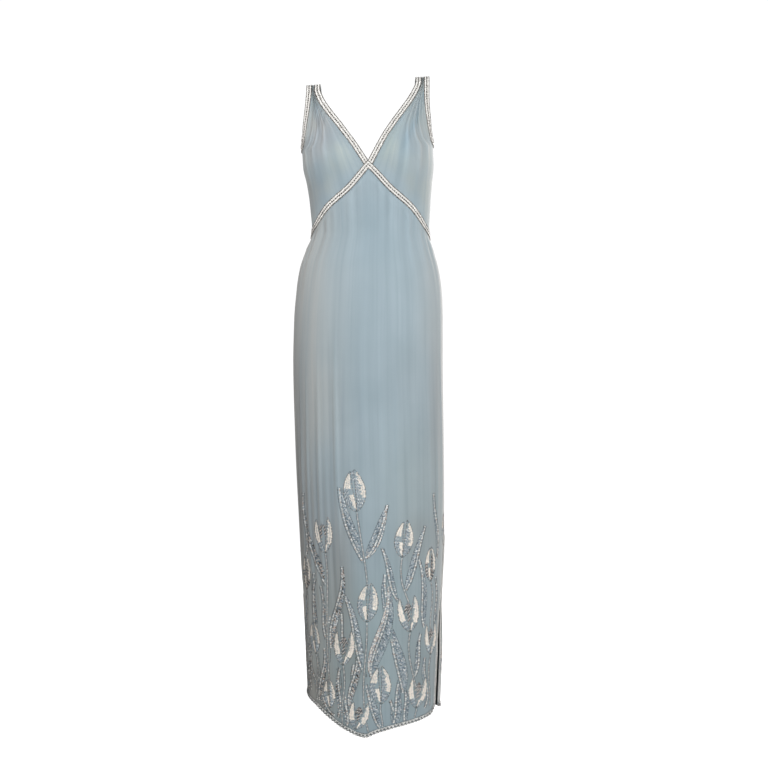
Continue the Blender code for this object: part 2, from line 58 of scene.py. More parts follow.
# The gown's own sizes, as in the model that carries these looks. Pieces lie SEAM_GAP apart at
# seams, and SEAM_TURN is half of that as a turn, at SEAM_RADIUS from the middle of the body
SEAM_GAP = 0.00012
SEAM_RADIUS = 0.1
SEAM_TURN = 0.5 * SEAM_GAP / SEAM_RADIUS
CLOTH_WALL = 0.0010
RIBBON_GAP = 0.0003
RIBBON_WALL = 0.0008
NECK_BAND = 0.0135
ARMHOLE_BAND = 0.012
UNDERBUST_BAND = 0.0135
HEM_BAND = 0.006
SLIT_BAND = 0.005

# Sections of the worn gown: height, half width, sideways shift, front depth, back depth,
# sideways tilt (rise per metre towards +X)
SECTIONS = (
    (0.000, 0.176, 0.000, 0.000, 0.000, 0.075),
    (-0.0012, 0.176, 0.000, 0.0085, 0.0085, 0.074),
    (-0.005, 0.176, 0.000, 0.017, 0.017, 0.073),
    (-0.019, 0.175, 0.000, 0.034, 0.036, 0.071),
    (-0.047, 0.172, -0.001, 0.055, 0.058, 0.066),
    (-0.091, 0.165, -0.002, 0.079, 0.080, 0.057),
    (-0.127, 0.154, -0.002, 0.096, 0.090, 0.050),
    (-0.150, 0.147, -0.001, 0.104, 0.093, 0.042),
    (-0.187, 0.147, 0.001, 0.108, 0.090, 0.030),
    (-0.232, 0.1406, 0.0035, 0.106, 0.085, 0.008),
    (-0.277, 0.1357, 0.005, 0.100, 0.080, -0.010),
    (-0.344, 0.1316, 0.006, 0.094, 0.078, -0.016),
    (-0.378, 0.1406, 0.0045, 0.096, 0.084, -0.012),
    (-0.418, 0.1539, 0.0025, 0.101, 0.094, 0.000),
    (-0.463, 0.1618, 0.0025, 0.106, 0.104, 0.000),
    (-0.535, 0.167, 0.0012, 0.110, 0.114, 0.000),
    (-0.625, 0.168, 0.000, 0.112, 0.114, 0.000),
    (-0.805, 0.1668, 0.0033, 0.112, 0.106, 0.000),
    (-1.030, 0.1615, 0.0087, 0.112, 0.102, 0.000),
    (-1.165, 0.1548, 0.0104, 0.112, 0.100, 0.000),
    (-1.278, 0.1528, 0.0135, 0.110, 0.100, 0.000),
    (-1.368, 0.1495, 0.0135, 0.108, 0.098, 0.000),
    (-1.480, 0.145, 0.0140, 0.107, 0.097, 0.000),
)
HEIGHT, HALF_WIDTH, SHIFT, FRONT_DEPTH, BACK_DEPTH, TILT = range(6)
# How far a section bulges past an ellipse between its front and its side, as a share
SQUARENESS = 0.09
# Fullness over the bust: middle, spread to the side, spread up and down, and rise
BUST_SIDE = 0.075
BUST_HEIGHT = -0.182
BUST_SPREAD = 0.034
BUST_DROP = 0.036
BUST_RISE = 0.019

# Distances of the straps' two edges from the centre line, and points of the necklines as
# height and distance from it
STRAP_INNER = 0.107
STRAP_OUTER = 0.1375
NECK_FRONT = ((0.0, STRAP_INNER), (-0.014, 0.1062), (-0.036, 0.0985), (-0.110, 0.0515))
NECK_BACK = ((0.0, STRAP_INNER), (-0.035, 0.103), (-0.095, 0.077), (-0.140, 0.036))
# Heights of the neckline at the centre back and of the underarm
NECK_BACK_CENTRE = -0.158
UNDERARM = -0.143
# How much more the neck band measures down the centre back than square to its edge
NECK_BACK_MITRE = 1.15
# Power of the armhole's curve. An ellipse has 2
ARMHOLE_SQUARE = 2.6

# Seam under the bust and hem: turn in degrees, height
UNDERBUST = ((0, -0.2035), (18.7, -0.2541), (39.5, -0.2896), (66.0, -0.331), (90, -0.349))
HEM = (
    (-180, -1.376),
    (-90, -1.371),
    (-60, -1.382),
    (-40, -1.406),
    (-22, -1.432),
    (-7, -1.446),
    (3, -1.436),
    (20, -1.424),
    (42, -1.413),
    (55, -1.405),
    (64, -1.389),
    (80, -1.397),
    (108, -1.410),
    (142, -1.394),
    (180, -1.376),
)
# Slit at the wearer's left side: height, turn of its front edge, turn of its back edge
SLIT = (
    (-1.020, 90, 90),
    (-1.140, 77, 82),
    (-1.190, 69.5, 76),
    (-1.250, 64, 71),
    (-1.390, 62, 70),
)
SLIT_TOP = SLIT[0][0]

# Long soft folds of the skirt: turn and spread in degrees, top and bottom heights, rise
FOLDS = (
    (-62, 9, -0.55, -1.38, 0.0035),
    (-42, 7, -0.66, -1.16, 0.0050),
    (-25, 6, -0.72, -1.10, 0.0035),
    (-8, 8, -0.90, -1.40, 0.0025),
    (14, 9, -0.62, -1.25, 0.0025),
    (40, 10, -0.50, -1.10, 0.0030),
    (63, 9, -0.60, -1.05, 0.0025),
    (112, 10, -0.56, -1.37, 0.0040),
    (138, 9, -0.62, -1.37, 0.0050),
    (163, 9, -0.70, -1.37, 0.0045),
    (196, 9, -0.64, -1.37, 0.0050),
    (224, 10, -0.60, -1.37, 0.0045),
    (250, 9, -0.58, -1.37, 0.0035),
)
# Narrow creases between them, in the same columns
CREASES = (
    (-71, 2.0, -0.66, -1.16, 0.0018),
    (-60, 1.6, -0.60, -1.10, 0.0022),
    (-51, 1.6, -0.66, -1.14, 0.0036),
    (-44.5, 1.3, -0.84, -1.20, 0.0022),
    (-38, 1.2, -0.60, -1.24, 0.0038),
    (-32, 1.4, -0.78, -1.18, 0.0020),
    (-23, 1.2, -0.54, -1.06, 0.0034),
    (-14, 1.8, -0.70, -1.02, 0.0011),
    (-4, 2.0, -0.44, -0.80, 0.0007),
    (8, 2.2, -0.50, -0.92, 0.0008),
    (18, 1.8, -0.64, -1.02, 0.0008),
    (28, 2.0, -0.50, -1.00, 0.0010),
    (38, 1.8, -0.70, -1.06, 0.0008),
    (49, 2.0, -0.56, -1.06, 0.0012),
    (60, 1.8, -0.74, -1.10, 0.0010),
    (72, 2.0, -0.46, -1.00, 0.0015),
    (104, 2.0, -0.60, -1.18, 0.0013),
    (125, 1.8, -0.70, -1.22, 0.0012),
    (151, 1.9, -0.58, -1.10, 0.0015),
    (171, 1.6, -0.80, -1.26, 0.0011),
    (188, 1.8, -0.56, -1.04, 0.0014),
    (210, 1.9, -0.72, -1.20, 0.0013),
    (237, 1.8, -0.62, -1.12, 0.0015),
    (258, 1.7, -0.70, -1.24, 0.0012),
)
# Below 1, a fold or crease is highest in its lower half
FOLD_SKEW = 0.7

# Gathers let into the shoulder seams: share of the way from the neckline to the armhole,
# width, share of the length at which they fade, rise
LEFT_GATHERS = (
    (0.10, 0.024, 0.72, 0.0026),
    (0.20, 0.022, 0.52, 0.0011),
    (0.29, 0.024, 0.95, 0.0042),
    (0.38, 0.020, 0.62, 0.0014),
    (0.46, 0.026, 0.92, 0.0048),
    (0.55, 0.020, 0.55, 0.0014),
    (0.64, 0.024, 0.80, 0.0042),
    (0.73, 0.020, 0.46, 0.0011),
    (0.83, 0.024, 0.60, 0.0026),
)
RIGHT_GATHERS = (
    (0.13, 0.024, 0.66, 0.0028),
    (0.24, 0.020, 0.50, 0.0012),
    (0.33, 0.024, 0.84, 0.0042),
    (0.43, 0.022, 0.56, 0.0014),
    (0.52, 0.024, 0.78, 0.0046),
    (0.62, 0.020, 0.60, 0.0013),
    (0.70, 0.024, 0.88, 0.0044),
    (0.79, 0.020, 0.44, 0.0012),
    (0.88, 0.022, 0.60, 0.0028),
)
BACK_GATHERS = (
    (0.14, 0.05, 0.50, 0.0009),
    (0.38, 0.06, 0.60, 0.0012),
    (0.64, 0.05, 0.44, 0.0010),
    (0.86, 0.05, 0.36, 0.0008),
)
# How much wider a gather gets over its length, the power that sets where it is highest, and
# the power that flattens the gathers beside a panel's edges
GATHER_WIDENING = 0.3
GATHER_SKEW = 0.5
GATHER_EDGE = 0.4
# Gathers let into the seam under the bust: waves in a turn of 2 pi, share of the rise, start.
# Then the rise, and the share of it by which the cloth stands out all round
SKIRT_GATHER_WAVES = ((11, 0.20, 0.4), (19, 0.34, 1.9), (27, 0.28, 3.3), (41, 0.18, 0.8))
SKIRT_GATHER_RISE = 0.0034
SKIRT_GATHER_BASE = 0.45
# Length over which they die away, the share of it over which they set in, and both powers
SKIRT_GATHER_END = 0.21
SKIRT_GATHER_ONSET = 0.09
SKIRT_GATHER_ONSET_POWER = 1.5
SKIRT_GATHER_END_POWER = 1.6

# Steps of the tables that sections and turns are read from
SECTION_STEPS = 6000
TURN_STEPS = 2000
# Rows and columns of the cloth. The neckline has NECK_SHARE of its length in the armhole's rows
ARMHOLE_ROWS = 52
SIDE_ROWS = 40
FRONT_COLUMNS = 84
BACK_COLUMNS = 60
STRIP_COLUMNS = 4
NECK_SHARE = 0.85
SKIRT_ROWS_ABOVE_SLIT = 110
SKIRT_ROWS_BELOW_SLIT = 56
SKIRT_ROW_GROWTH = 1.2
# Points of a route that bands and beads follow, of the band under the bust and of the hem
ROUTE_STEPS = 600
UNDERBUST_STEPS = 2 * ROUTE_STEPS + 1
HEM_STEPS = 4 * ROUTE_STEPS
# Width of a bodice panel's cloth before it is gathered
BODICE_WIDTH = 0.19
# Points along the bands' grounds, and lines across the slit's. The slit's bands as node, skirt
# panel, column of SLIT, column of the panel's points at its edge, and way from the edge
CHEVRON_STEPS = 240
SLIT_BAND_STEPS = 90
SLIT_BAND_LINES = 3
SLIT_BANDS = (
    ("slit_band_front", "front_skirt", 1, -1, -1),
    ("slit_band_back", "back_skirt_left", 2, 0, 1),
)


def smooth(knots, values, at):
    """Values on a smooth curve through the knots, level where the values turn back."""
    knots = np.asarray(knots, float)
    values = np.asarray(values, float)
    step = np.diff(knots)
    rise = np.diff(values) / step
    before = rise[:-1]
    after = rise[1:]
    same_way = before * after > 0
    total = np.where(same_way, before + after, 1.0)
    slope = np.concatenate(([rise[0]], np.where(same_way, 2 * before * after / total, 0), [rise[-1]]))
    place = np.clip(at, knots[0], knots[-1])
    cell = np.clip(np.searchsorted(knots, place, side="right") - 1, 0, len(step) - 1)
    f = (place - knots[cell]) / step[cell]
    line = values[cell] + (values[cell + 1] - values[cell]) * f * f * (3 - 2 * f)
    lean = slope[cell] * f * (1 - f) ** 2 - slope[cell + 1] * f * f * (1 - f)
    return line + step[cell] * lean


SECTION_ROWS = np.array(SECTIONS)
SECTION_LEGS = np.hypot(np.diff(SECTION_ROWS[:, HEIGHT]), np.diff(SECTION_ROWS[:, FRONT_DEPTH]))
SECTION_DOWNS = np.concatenate(([0.0], np.cumsum(SECTION_LEGS)))
FINE_DOWNS = np.linspace(0, SECTION_DOWNS[-1], SECTION_STEPS)
FINE_SECTIONS = [smooth(SECTION_DOWNS, column, FINE_DOWNS) for column in SECTION_ROWS.T]


def unit(vectors):
    """The same vectors at length 1."""
    return vectors / np.linalg.norm(vectors, axis=-1, keepdims=True)


def sampled(at, knots, rows):
    """Rows of numbers, one for each knot, read at any places between the knots."""
    return np.stack([np.interp(at, knots, column) for column in rows.T], axis=-1)


def section(column, down):
    """One column of the sections, at any length down the cloth."""
    return np.interp(down, FINE_DOWNS, FINE_SECTIONS[column])


def down_at(height):
    """The length of cloth from the shoulder seam down to a height."""
    return np.interp(-np.asarray(height, float), -FINE_SECTIONS[HEIGHT], FINE_DOWNS)


def bust(x, height, facing):
    """How far the cloth stands forward over the bust."""
    left = np.exp(-0.5 * ((x - BUST_SIDE) / BUST_SPREAD) ** 2)
    right = np.exp(-0.5 * ((x + BUST_SIDE) / BUST_SPREAD) ** 2)
    near_height = np.exp(-0.5 * ((height - BUST_HEIGHT) / BUST_DROP) ** 2)
    return BUST_RISE * (left + right) * near_height * np.clip(facing, 0, 1)


def surface(turn, down):
    """Points of the cloth's outer face, without folds."""
    turn = np.asarray(turn, float)
    down = np.asarray(down, float)
    height = section(HEIGHT, down)
    sine = np.sin(turn)
    cosine = np.cos(turn)
    x = section(HALF_WIDTH, down) * sine * (1 + SQUARENESS * cosine ** 2)
    depth = np.where(cosine >= 0, section(FRONT_DEPTH, down), section(BACK_DEPTH, down))
    y = -depth * cosine * (1 + SQUARENESS * sine ** 2) - bust(x, height, cosine)
    z = height + section(TILT, down) * x
    return np.stack(np.broadcast_arrays(x + section(SHIFT, down), y, z), axis=-1)


def tangents(turn, down):
    """How a point of the cloth moves with turn and with down."""
    small = 5e-4
    lower = np.maximum(down - small, 0)
    upper = lower + 2 * small
    by_turn = (surface(turn + small, down) - surface(turn - small, down)) / (2 * small)
    by_down = (surface(turn, upper) - surface(turn, lower)) / (upper - lower)[..., None]
    return by_turn, by_down


def outward(turn, down):
    """Unit normals of the cloth; straight up from the shoulder seam itself."""
    by_turn, by_down = tangents(turn, down)
    at_seam = (np.asarray(down) < SEAM_GAP)[..., None]
    away = np.where(np.cos(turn) >= 0, -1.0, 1.0)
    straight_away = np.stack(np.broadcast_arrays(0.0, away, 0.0), axis=-1)
    by_down = np.where(at_seam, straight_away, by_down)
    return unit(np.cross(by_down, by_turn))


def turn_at(half_width, down):
    """The turn, from 0 to 90 degrees, at which the cloth lies that far from the centre."""
    turns = np.linspace(0, SIDE, TURN_STEPS)
    shares = np.sin(turns) * (1 + SQUARENESS * np.cos(turns) ** 2)
    return np.interp(half_width / section(HALF_WIDTH, down), shares, turns)


def lengths_along(points):
    """Length along a row of points, from its start to each point."""
    leg = np.linalg.norm(np.diff(points, axis=0), axis=1)
    return np.concatenate(([0.0], np.cumsum(leg)))


def steps_along(turn, down, shares):
    """Places at given shares of the length of a route on the cloth."""
    length = lengths_along(surface(turn, down))
    goal = shares * length[-1]
    return np.interp(goal, length, turn), np.interp(goal, length, down)


def beside(turn, down, distance):
    """Places at a distance square to a route, on its left as it is seen from outside."""
    points = surface(turn, down)
    along = np.gradient(points, axis=0)
    across = unit(np.cross(outward(turn, down), along))
    turn = turn.copy()
    down = down.copy()
    steps = 4
    for _ in range(steps):
        by_turn, by_down = tangents(turn, down)
        a = np.sum(by_turn * by_turn, axis=-1)
        b = np.sum(by_turn * by_down, axis=-1)
        c = np.sum(by_down * by_down, axis=-1)
        p = np.sum(by_turn * across, axis=-1) * distance / steps
        q = np.sum(by_down * across, axis=-1) * distance / steps
        turn += (c * p - b * q) / (a * c - b * b)
        down += (a * q - b * p) / (a * c - b * b)
        down = np.maximum(down, 0)
    return turn, down


def wrapped(turn):
    """The same turn between -180 and 180 degrees."""
    return (np.asarray(turn, float) + BACK) % (2 * BACK) - BACK


def seam_down(turn):
    """Where the seam under the bust lies, at any turn. The back keeps the height of the side."""
    around = np.abs(wrapped(turn))
    turns, heights = np.array(UNDERBUST).T
    near = np.minimum(around, BACK - around)
    rounding = 1e-9
    behind = around > SIDE + rounding
    return down_at(np.where(behind, heights[-1], smooth(np.radians(turns), heights, near)))


def seam_slant(turn):
    """Length along the seam under the bust for each unit of its level length, at the front."""
    around = np.abs(wrapped(turn))
    small = 0.01
    near = np.clip(np.minimum(around, BACK - around), small, SIDE - small)
    before = surface(near - small, seam_down(near - small))
    after = surface(near + small, seam_down(near + small))
    leg = after - before
    level = np.hypot(leg[..., 0], leg[..., 1])
    return np.hypot(level, leg[..., 2]) / level


def band_top(turn):
    """Upper edge of the band under the bust."""
    return seam_down(turn) - 0.5 * UNDERBUST_BAND * seam_slant(turn)


def band_bottom(turn):
    """Lower edge of the band under the bust."""
    return seam_down(turn) + 0.5 * UNDERBUST_BAND * seam_slant(turn)


def hem_down(turn):
    """Where the hem lies, at any turn."""
    turns, heights = np.array(HEM).T
    return down_at(smooth(np.radians(turns), heights, wrapped(turn)))


def slit_turn(down, column):
    """Turn of the slit's front edge (column 1) or back edge (2). Above it that is the side seam."""
    table = np.array(SLIT).T
    return smooth(down_at(table[0]), np.radians(table[column]), down)


def fold_lift(turn, down):
    """How far the long folds and the narrow creases of the skirt stand out."""
    height = section(HEIGHT, down)
    lift = np.zeros(np.broadcast(turn, down).shape)
    for middle, spread, top, bottom, rise in FOLDS + CREASES:
        away = (np.degrees(turn) - middle + 180) % 360 - 180
        share = np.clip((height - bottom) / (top - bottom), 0, 1)
        lift += rise * np.exp(-0.5 * (away / spread) ** 2) * np.sin(math.pi * share ** FOLD_SKEW)
    return lift


def skirt_lift(turn, down, top_turn):
    """All the skirt's folds: the gathers under the band, then the long folds."""
    below = np.clip((down - band_bottom(turn)) / SKIRT_GATHER_END, 0, 1)
    wave = sum(share * np.sin(count * top_turn + start) for count, share, start in SKIRT_GATHER_WAVES)
    onset = np.clip(below / SKIRT_GATHER_ONSET, 0, 1) ** SKIRT_GATHER_ONSET_POWER
    fade = onset * (1 - below) ** SKIRT_GATHER_END_POWER
    return fold_lift(turn, down) + SKIRT_GATHER_RISE * (SKIRT_GATHER_BASE + wave) * fade


def gather_lift(across, along, gathers):
    """Gathers that run from the shoulder seam and die away over the bust."""
    lift = np.zeros(np.broadcast(across, along).shape)
    for middle, width, end, rise in gathers:
        spread = width * (1 + GATHER_WIDENING * along)
        share = np.clip(along / end, 0, 1)
        bell = np.exp(-0.5 * ((across - middle) / spread) ** 2)
        lift += rise * bell * np.sin(math.pi * share ** GATHER_SKEW)
    return lift * np.clip(np.sin(math.pi * across), 0, 1) ** GATHER_EDGE


def neck_route(back):
    """Neckline of the +X side, from the shoulder seam to the centre line."""
    heights, half_widths = np.array(NECK_BACK if back else NECK_FRONT).T
    centre = down_at(NECK_BACK_CENTRE) if back else band_top(0.0)
    knots = np.append(down_at(heights), centre)
    down = np.linspace(0, centre, ROUTE_STEPS)
    turn = turn_at(smooth(knots, np.append(half_widths, 0.0), down), down)
    return (BACK - turn if back else turn), down


def armhole_route(back):
    """Armhole of the +X side, from the shoulder seam to the underarm."""
    share = np.linspace(0, SIDE, ROUTE_STEPS)
    start = turn_at(STRAP_OUTER, 0.0)
    down = down_at(UNDERARM) * np.sin(share) ** (2 / ARMHOLE_SQUARE)
    turn = start + (SIDE - start) * (1 - np.cos(share) ** (2 / ARMHOLE_SQUARE))
    return (BACK - turn if back else turn), down


def shoulder_turns(half_widths, back):
    """Turns on the shoulder seam at given distances from the centre."""
    turns = turn_at(half_widths, 0.0)
    return BACK - turns if back else turns


def strip(route, shares, offsets, side, seam_turns, last_turns, last_downs):
    """Rows beside an edge, between a row on the shoulder seam and a given last row."""
    turn, down = steps_along(*route, shares)
    turns = []
    downs = []
    for column, offset in enumerate(offsets):
        new_turn, new_down = beside(turn, down, side * offset)
        new_turn[0] = seam_turns[column]
        new_down[0] = 0.0
        new_turn[-1] = last_turns[column]
        new_down[-1] = last_downs[column]
        turns.append(new_turn)
        downs.append(new_down)
    return np.stack(turns, axis=1), np.stack(downs, axis=1)


def armhole_strip(back, offsets, rows=ARMHOLE_ROWS):
    """Lines beside half an armhole, ending on the side seam."""
    side = 1 if back else -1
    shares = np.linspace(0, 1, rows + 1)
    seam_turns = shoulder_turns(STRAP_OUTER - offsets, back)
    downs = down_at(UNDERARM) + offsets
    return strip(armhole_route(back), shares, offsets, side, seam_turns, offsets * 0 + SIDE, downs)


def neck_strip(back, offsets, shares):
    """Lines along half a neckline, ending on the centre line or on the band below it."""
    route = neck_route(back)
    seam_turns = shoulder_turns(STRAP_INNER + offsets, back)
    if back:
        downs = route[1][-1] + offsets * NECK_BACK_MITRE
        return strip(route, shares, offsets, -1, seam_turns, offsets * 0 + BACK, downs)
    turns = turn_at(offsets / seam_slant(0.0), band_top(0.0))
    return strip(route, shares, offsets, 1, seam_turns, turns, band_top(turns))


def smooth_block(turn, down):
    """A block with no folds in it."""
    return turn, down, np.zeros(turn.shape)


def filled(inner, outer, columns, bottom):
    """Rows between two edges; the last row follows the bottom curve."""
    share = np.linspace(0, 1, columns + 1)
    turn = inner[0][:, None] * (1 - share) + outer[0][:, None] * share
    down = inner[1][:, None] * (1 - share) + outer[1][:, None] * share
    fraction = np.clip(np.arange(len(turn)) - ARMHOLE_ROWS, 0, None)[:, None] / SIDE_ROWS
    return turn, down + fraction * (bottom(turn[-1]) - down[-1])


def side_rows(start, end):
    """Places down the side seam, from the armhole's band to a lower edge."""
    down = np.linspace(start, end, SIDE_ROWS + 1)[1:]
    return down * 0 + SIDE, down


def bodice_lift(columns, gathers):
    """The gathers of a bodice panel on its own grid."""
    across = np.linspace(0, 1, columns + 1)[None, :]
    along = np.linspace(0, 1, ARMHOLE_ROWS + SIDE_ROWS + 1)[:, None]
    return gather_lift(across, along, gathers)


def gathered_places(down):
    """Cloth places that follow the gathers from the shoulder down, for the streaks of the cloth."""
    across = np.linspace(0, 1, down.shape[1]) * BODICE_WIDTH
    return np.stack(np.broadcast_arrays(across, -down), axis=-1)


def front_bodice_blocks(gathers):
    """A front bodice on the +X side as blocks of rows: body, neck, armhole, band under the bust."""
    upper = np.linspace(0, NECK_SHARE, ARMHOLE_ROWS + 1)
    lower = np.linspace(NECK_SHARE, 1, SIDE_ROWS + 1)[1:]
    arm = armhole_strip(False, np.linspace(0, ARMHOLE_BAND, STRIP_COLUMNS + 1))
    neck = neck_strip(False, np.linspace(0, NECK_BAND, STRIP_COLUMNS + 1), np.append(upper, lower))
    side = side_rows(arm[1][-1, -1], band_top(SIDE))
    outer = tuple(np.append(a[:, -1], b) for a, b in zip(arm, side))
    inner = (neck[0][:, -1], neck[1][:, -1])
    turn, down = filled(inner, outer, FRONT_COLUMNS, band_top)
    body = (turn, down, bodice_lift(FRONT_COLUMNS, gathers), gathered_places(down))
    edge_turns = np.append(neck[0][-1, :-1], turn[-1])
    waist_turn = np.stack((edge_turns, edge_turns))
    waist_down = np.stack((band_top(edge_turns), seam_down(edge_turns)))
    waist = smooth_block(waist_turn, waist_down)
    return {"body": body, "neck": smooth_block(*neck), "arm": smooth_block(*arm), "waist": waist}


def back_bodice_blocks():
    """The +X back bodice as blocks of rows: body, neck band, armhole band."""
    arm = armhole_strip(True, np.linspace(0, ARMHOLE_BAND, STRIP_COLUMNS + 1))
    shares = np.linspace(0, 1, ARMHOLE_ROWS + 1)
    neck = neck_strip(True, np.linspace(0, NECK_BAND, STRIP_COLUMNS + 1), shares)
    side = side_rows(arm[1][-1, -1], seam_down(SIDE))
    centre_down = np.linspace(neck[1][-1, -1], seam_down(SIDE), SIDE_ROWS + 1)[1:]
    outer = tuple(np.append(a[:, -1], b) for a, b in zip(arm, side))
    inner_turn = np.append(neck[0][:, -1], centre_down * 0 + BACK)
    inner = (inner_turn, np.append(neck[1][:, -1], centre_down))
    turn, down = filled(inner, outer, BACK_COLUMNS, seam_down)
    body = (turn, down, bodice_lift(BACK_COLUMNS, BACK_GATHERS), gathered_places(down))
    return {"body": body, "neck": smooth_block(*neck), "arm": smooth_block(*arm)}


def skirt_downs(turns):
    """Rows of the skirt for a set of turns at its top: seam, band, body, hem band, hem."""
    top = band_bottom(turns)
    hem = hem_down(turns)
    hem_top = hem - HEM_BAND
    side_top = band_bottom(SIDE)
    slit_share = (down_at(SLIT_TOP) - side_top) / (hem_down(SIDE) - HEM_BAND - side_top)
    above = slit_share * np.linspace(0, 1, SKIRT_ROWS_ABOVE_SLIT + 1) ** SKIRT_ROW_GROWTH
    below = np.linspace(slit_share, 1, SKIRT_ROWS_BELOW_SLIT + 1)[1:]
    body = [top + (hem_top - top) * share for share in np.append(above, below)]
    return np.stack([seam_down(turns), *body, hem])


# The row at the top of the slit
SLIT_ROW = 1 + SKIRT_ROWS_ABOVE_SLIT


def refit(turn, down, turns):
    """Rows kept at their share of the skirt's length after their turns have moved."""
    top = seam_down(turns)
    share = (down - top) / (hem_down(turns) - top)
    return down + share * (hem_down(turn) - hem_down(turns))


def front_skirt_block(half_turns):
    """The front skirt, side seam to side seam, with its slit edge at +X."""
    turns = np.concatenate((-half_turns[:0:-1], half_turns))
    down = skirt_downs(turns)
    edge = slit_turn(down[:, -1], column=1)[:, None]
    turn = np.where(turns > 0, turns * edge / SIDE, turns + 0 * edge)
    down = refit(turn, down, turns)
    return turn, down, skirt_lift(turn, down, turns)


def back_skirt_block(left):
    """Half of the back skirt, from the +X side seam or the -X side seam to the centre back."""
    turns = np.linspace(SIDE, BACK, BACK_COLUMNS + 1)
    if not left:
        turns = 2 * BACK - turns
    down = skirt_downs(turns)
    turn = turns + 0 * down
    if left:
        edge = slit_turn(down[:, 0], column=2)[:, None]
        turn = BACK - (BACK - turns) * (BACK - edge) / SIDE
        down = refit(turn, down, turns)
    return turn, down, skirt_lift(turn, down, turns)


def behind_side_seam(block):
    """The back skirt's slit side, kept behind the side seam down to the top of the slit."""
    turn, down, lift = block
    above = np.arange(len(down))[:, None] <= SLIT_ROW
    return np.where(above, np.maximum(turn, SIDE + SEAM_TURN), turn), down, lift


def mirrored(block):
    """The same block on the -X side."""
    turn, down, lift, *places = block
    return -turn, down, lift, *places


def clear_of(block, turn_range):
    """A block kept half a seam gap inside given turns, and off the shoulder seam."""
    turn, down, lift, *places = block
    turn = np.clip(turn, turn_range[0] + SEAM_TURN, turn_range[1] - SEAM_TURN)
    return turn, np.maximum(down, 0.5 * SEAM_GAP), lift, *places


def waist_clear(block, above):
    """A block kept half a seam gap above or below the seam under the bust."""
    turn, down, lift, *places = block
    gap = 0.5 * SEAM_GAP * seam_slant(turn)
    if above:
        return turn, np.minimum(down, seam_down(turn) - gap), lift, *places
    return turn, np.maximum(down, seam_down(turn) + gap), lift, *places


def grid_triangles(numbers):
    """Two triangles for each cell of a grid of vertex numbers."""
    a = numbers[:-1, :-1].ravel()
    b = numbers[:-1, 1:].ravel()
    c = numbers[1:, 1:].ravel()
    d = numbers[1:, :-1].ravel()
    return np.concatenate((np.stack((a, b, c), axis=1), np.stack((a, c, d), axis=1)))


# Metres of cloth for each radian, for the places that weaves are drawn at
CLOTH_RADIUS = 0.16
# Points that are the same to this many digits are welded
WELD_DIGITS = 6
# Edges sharper than this stay sharp
SHARP_EDGE = math.radians(50)

# Painted shade in the hollows between folds, and a painted highlight on their crests: how much
# darker a hollow is painted, the hollow's depth that gives the whole change, the columns that it
# is measured over, and the share of the change that a crest gets the other way, painted lighter
BODICE_PAINTED_FOLD_SHADE = 0.28
SKIRT_PAINTED_FOLD_SHADE = 0.09
HOLLOW_DEPTH = 0.0012
HOLLOW_COLUMNS = 7
CREST_SHARE = 0.5
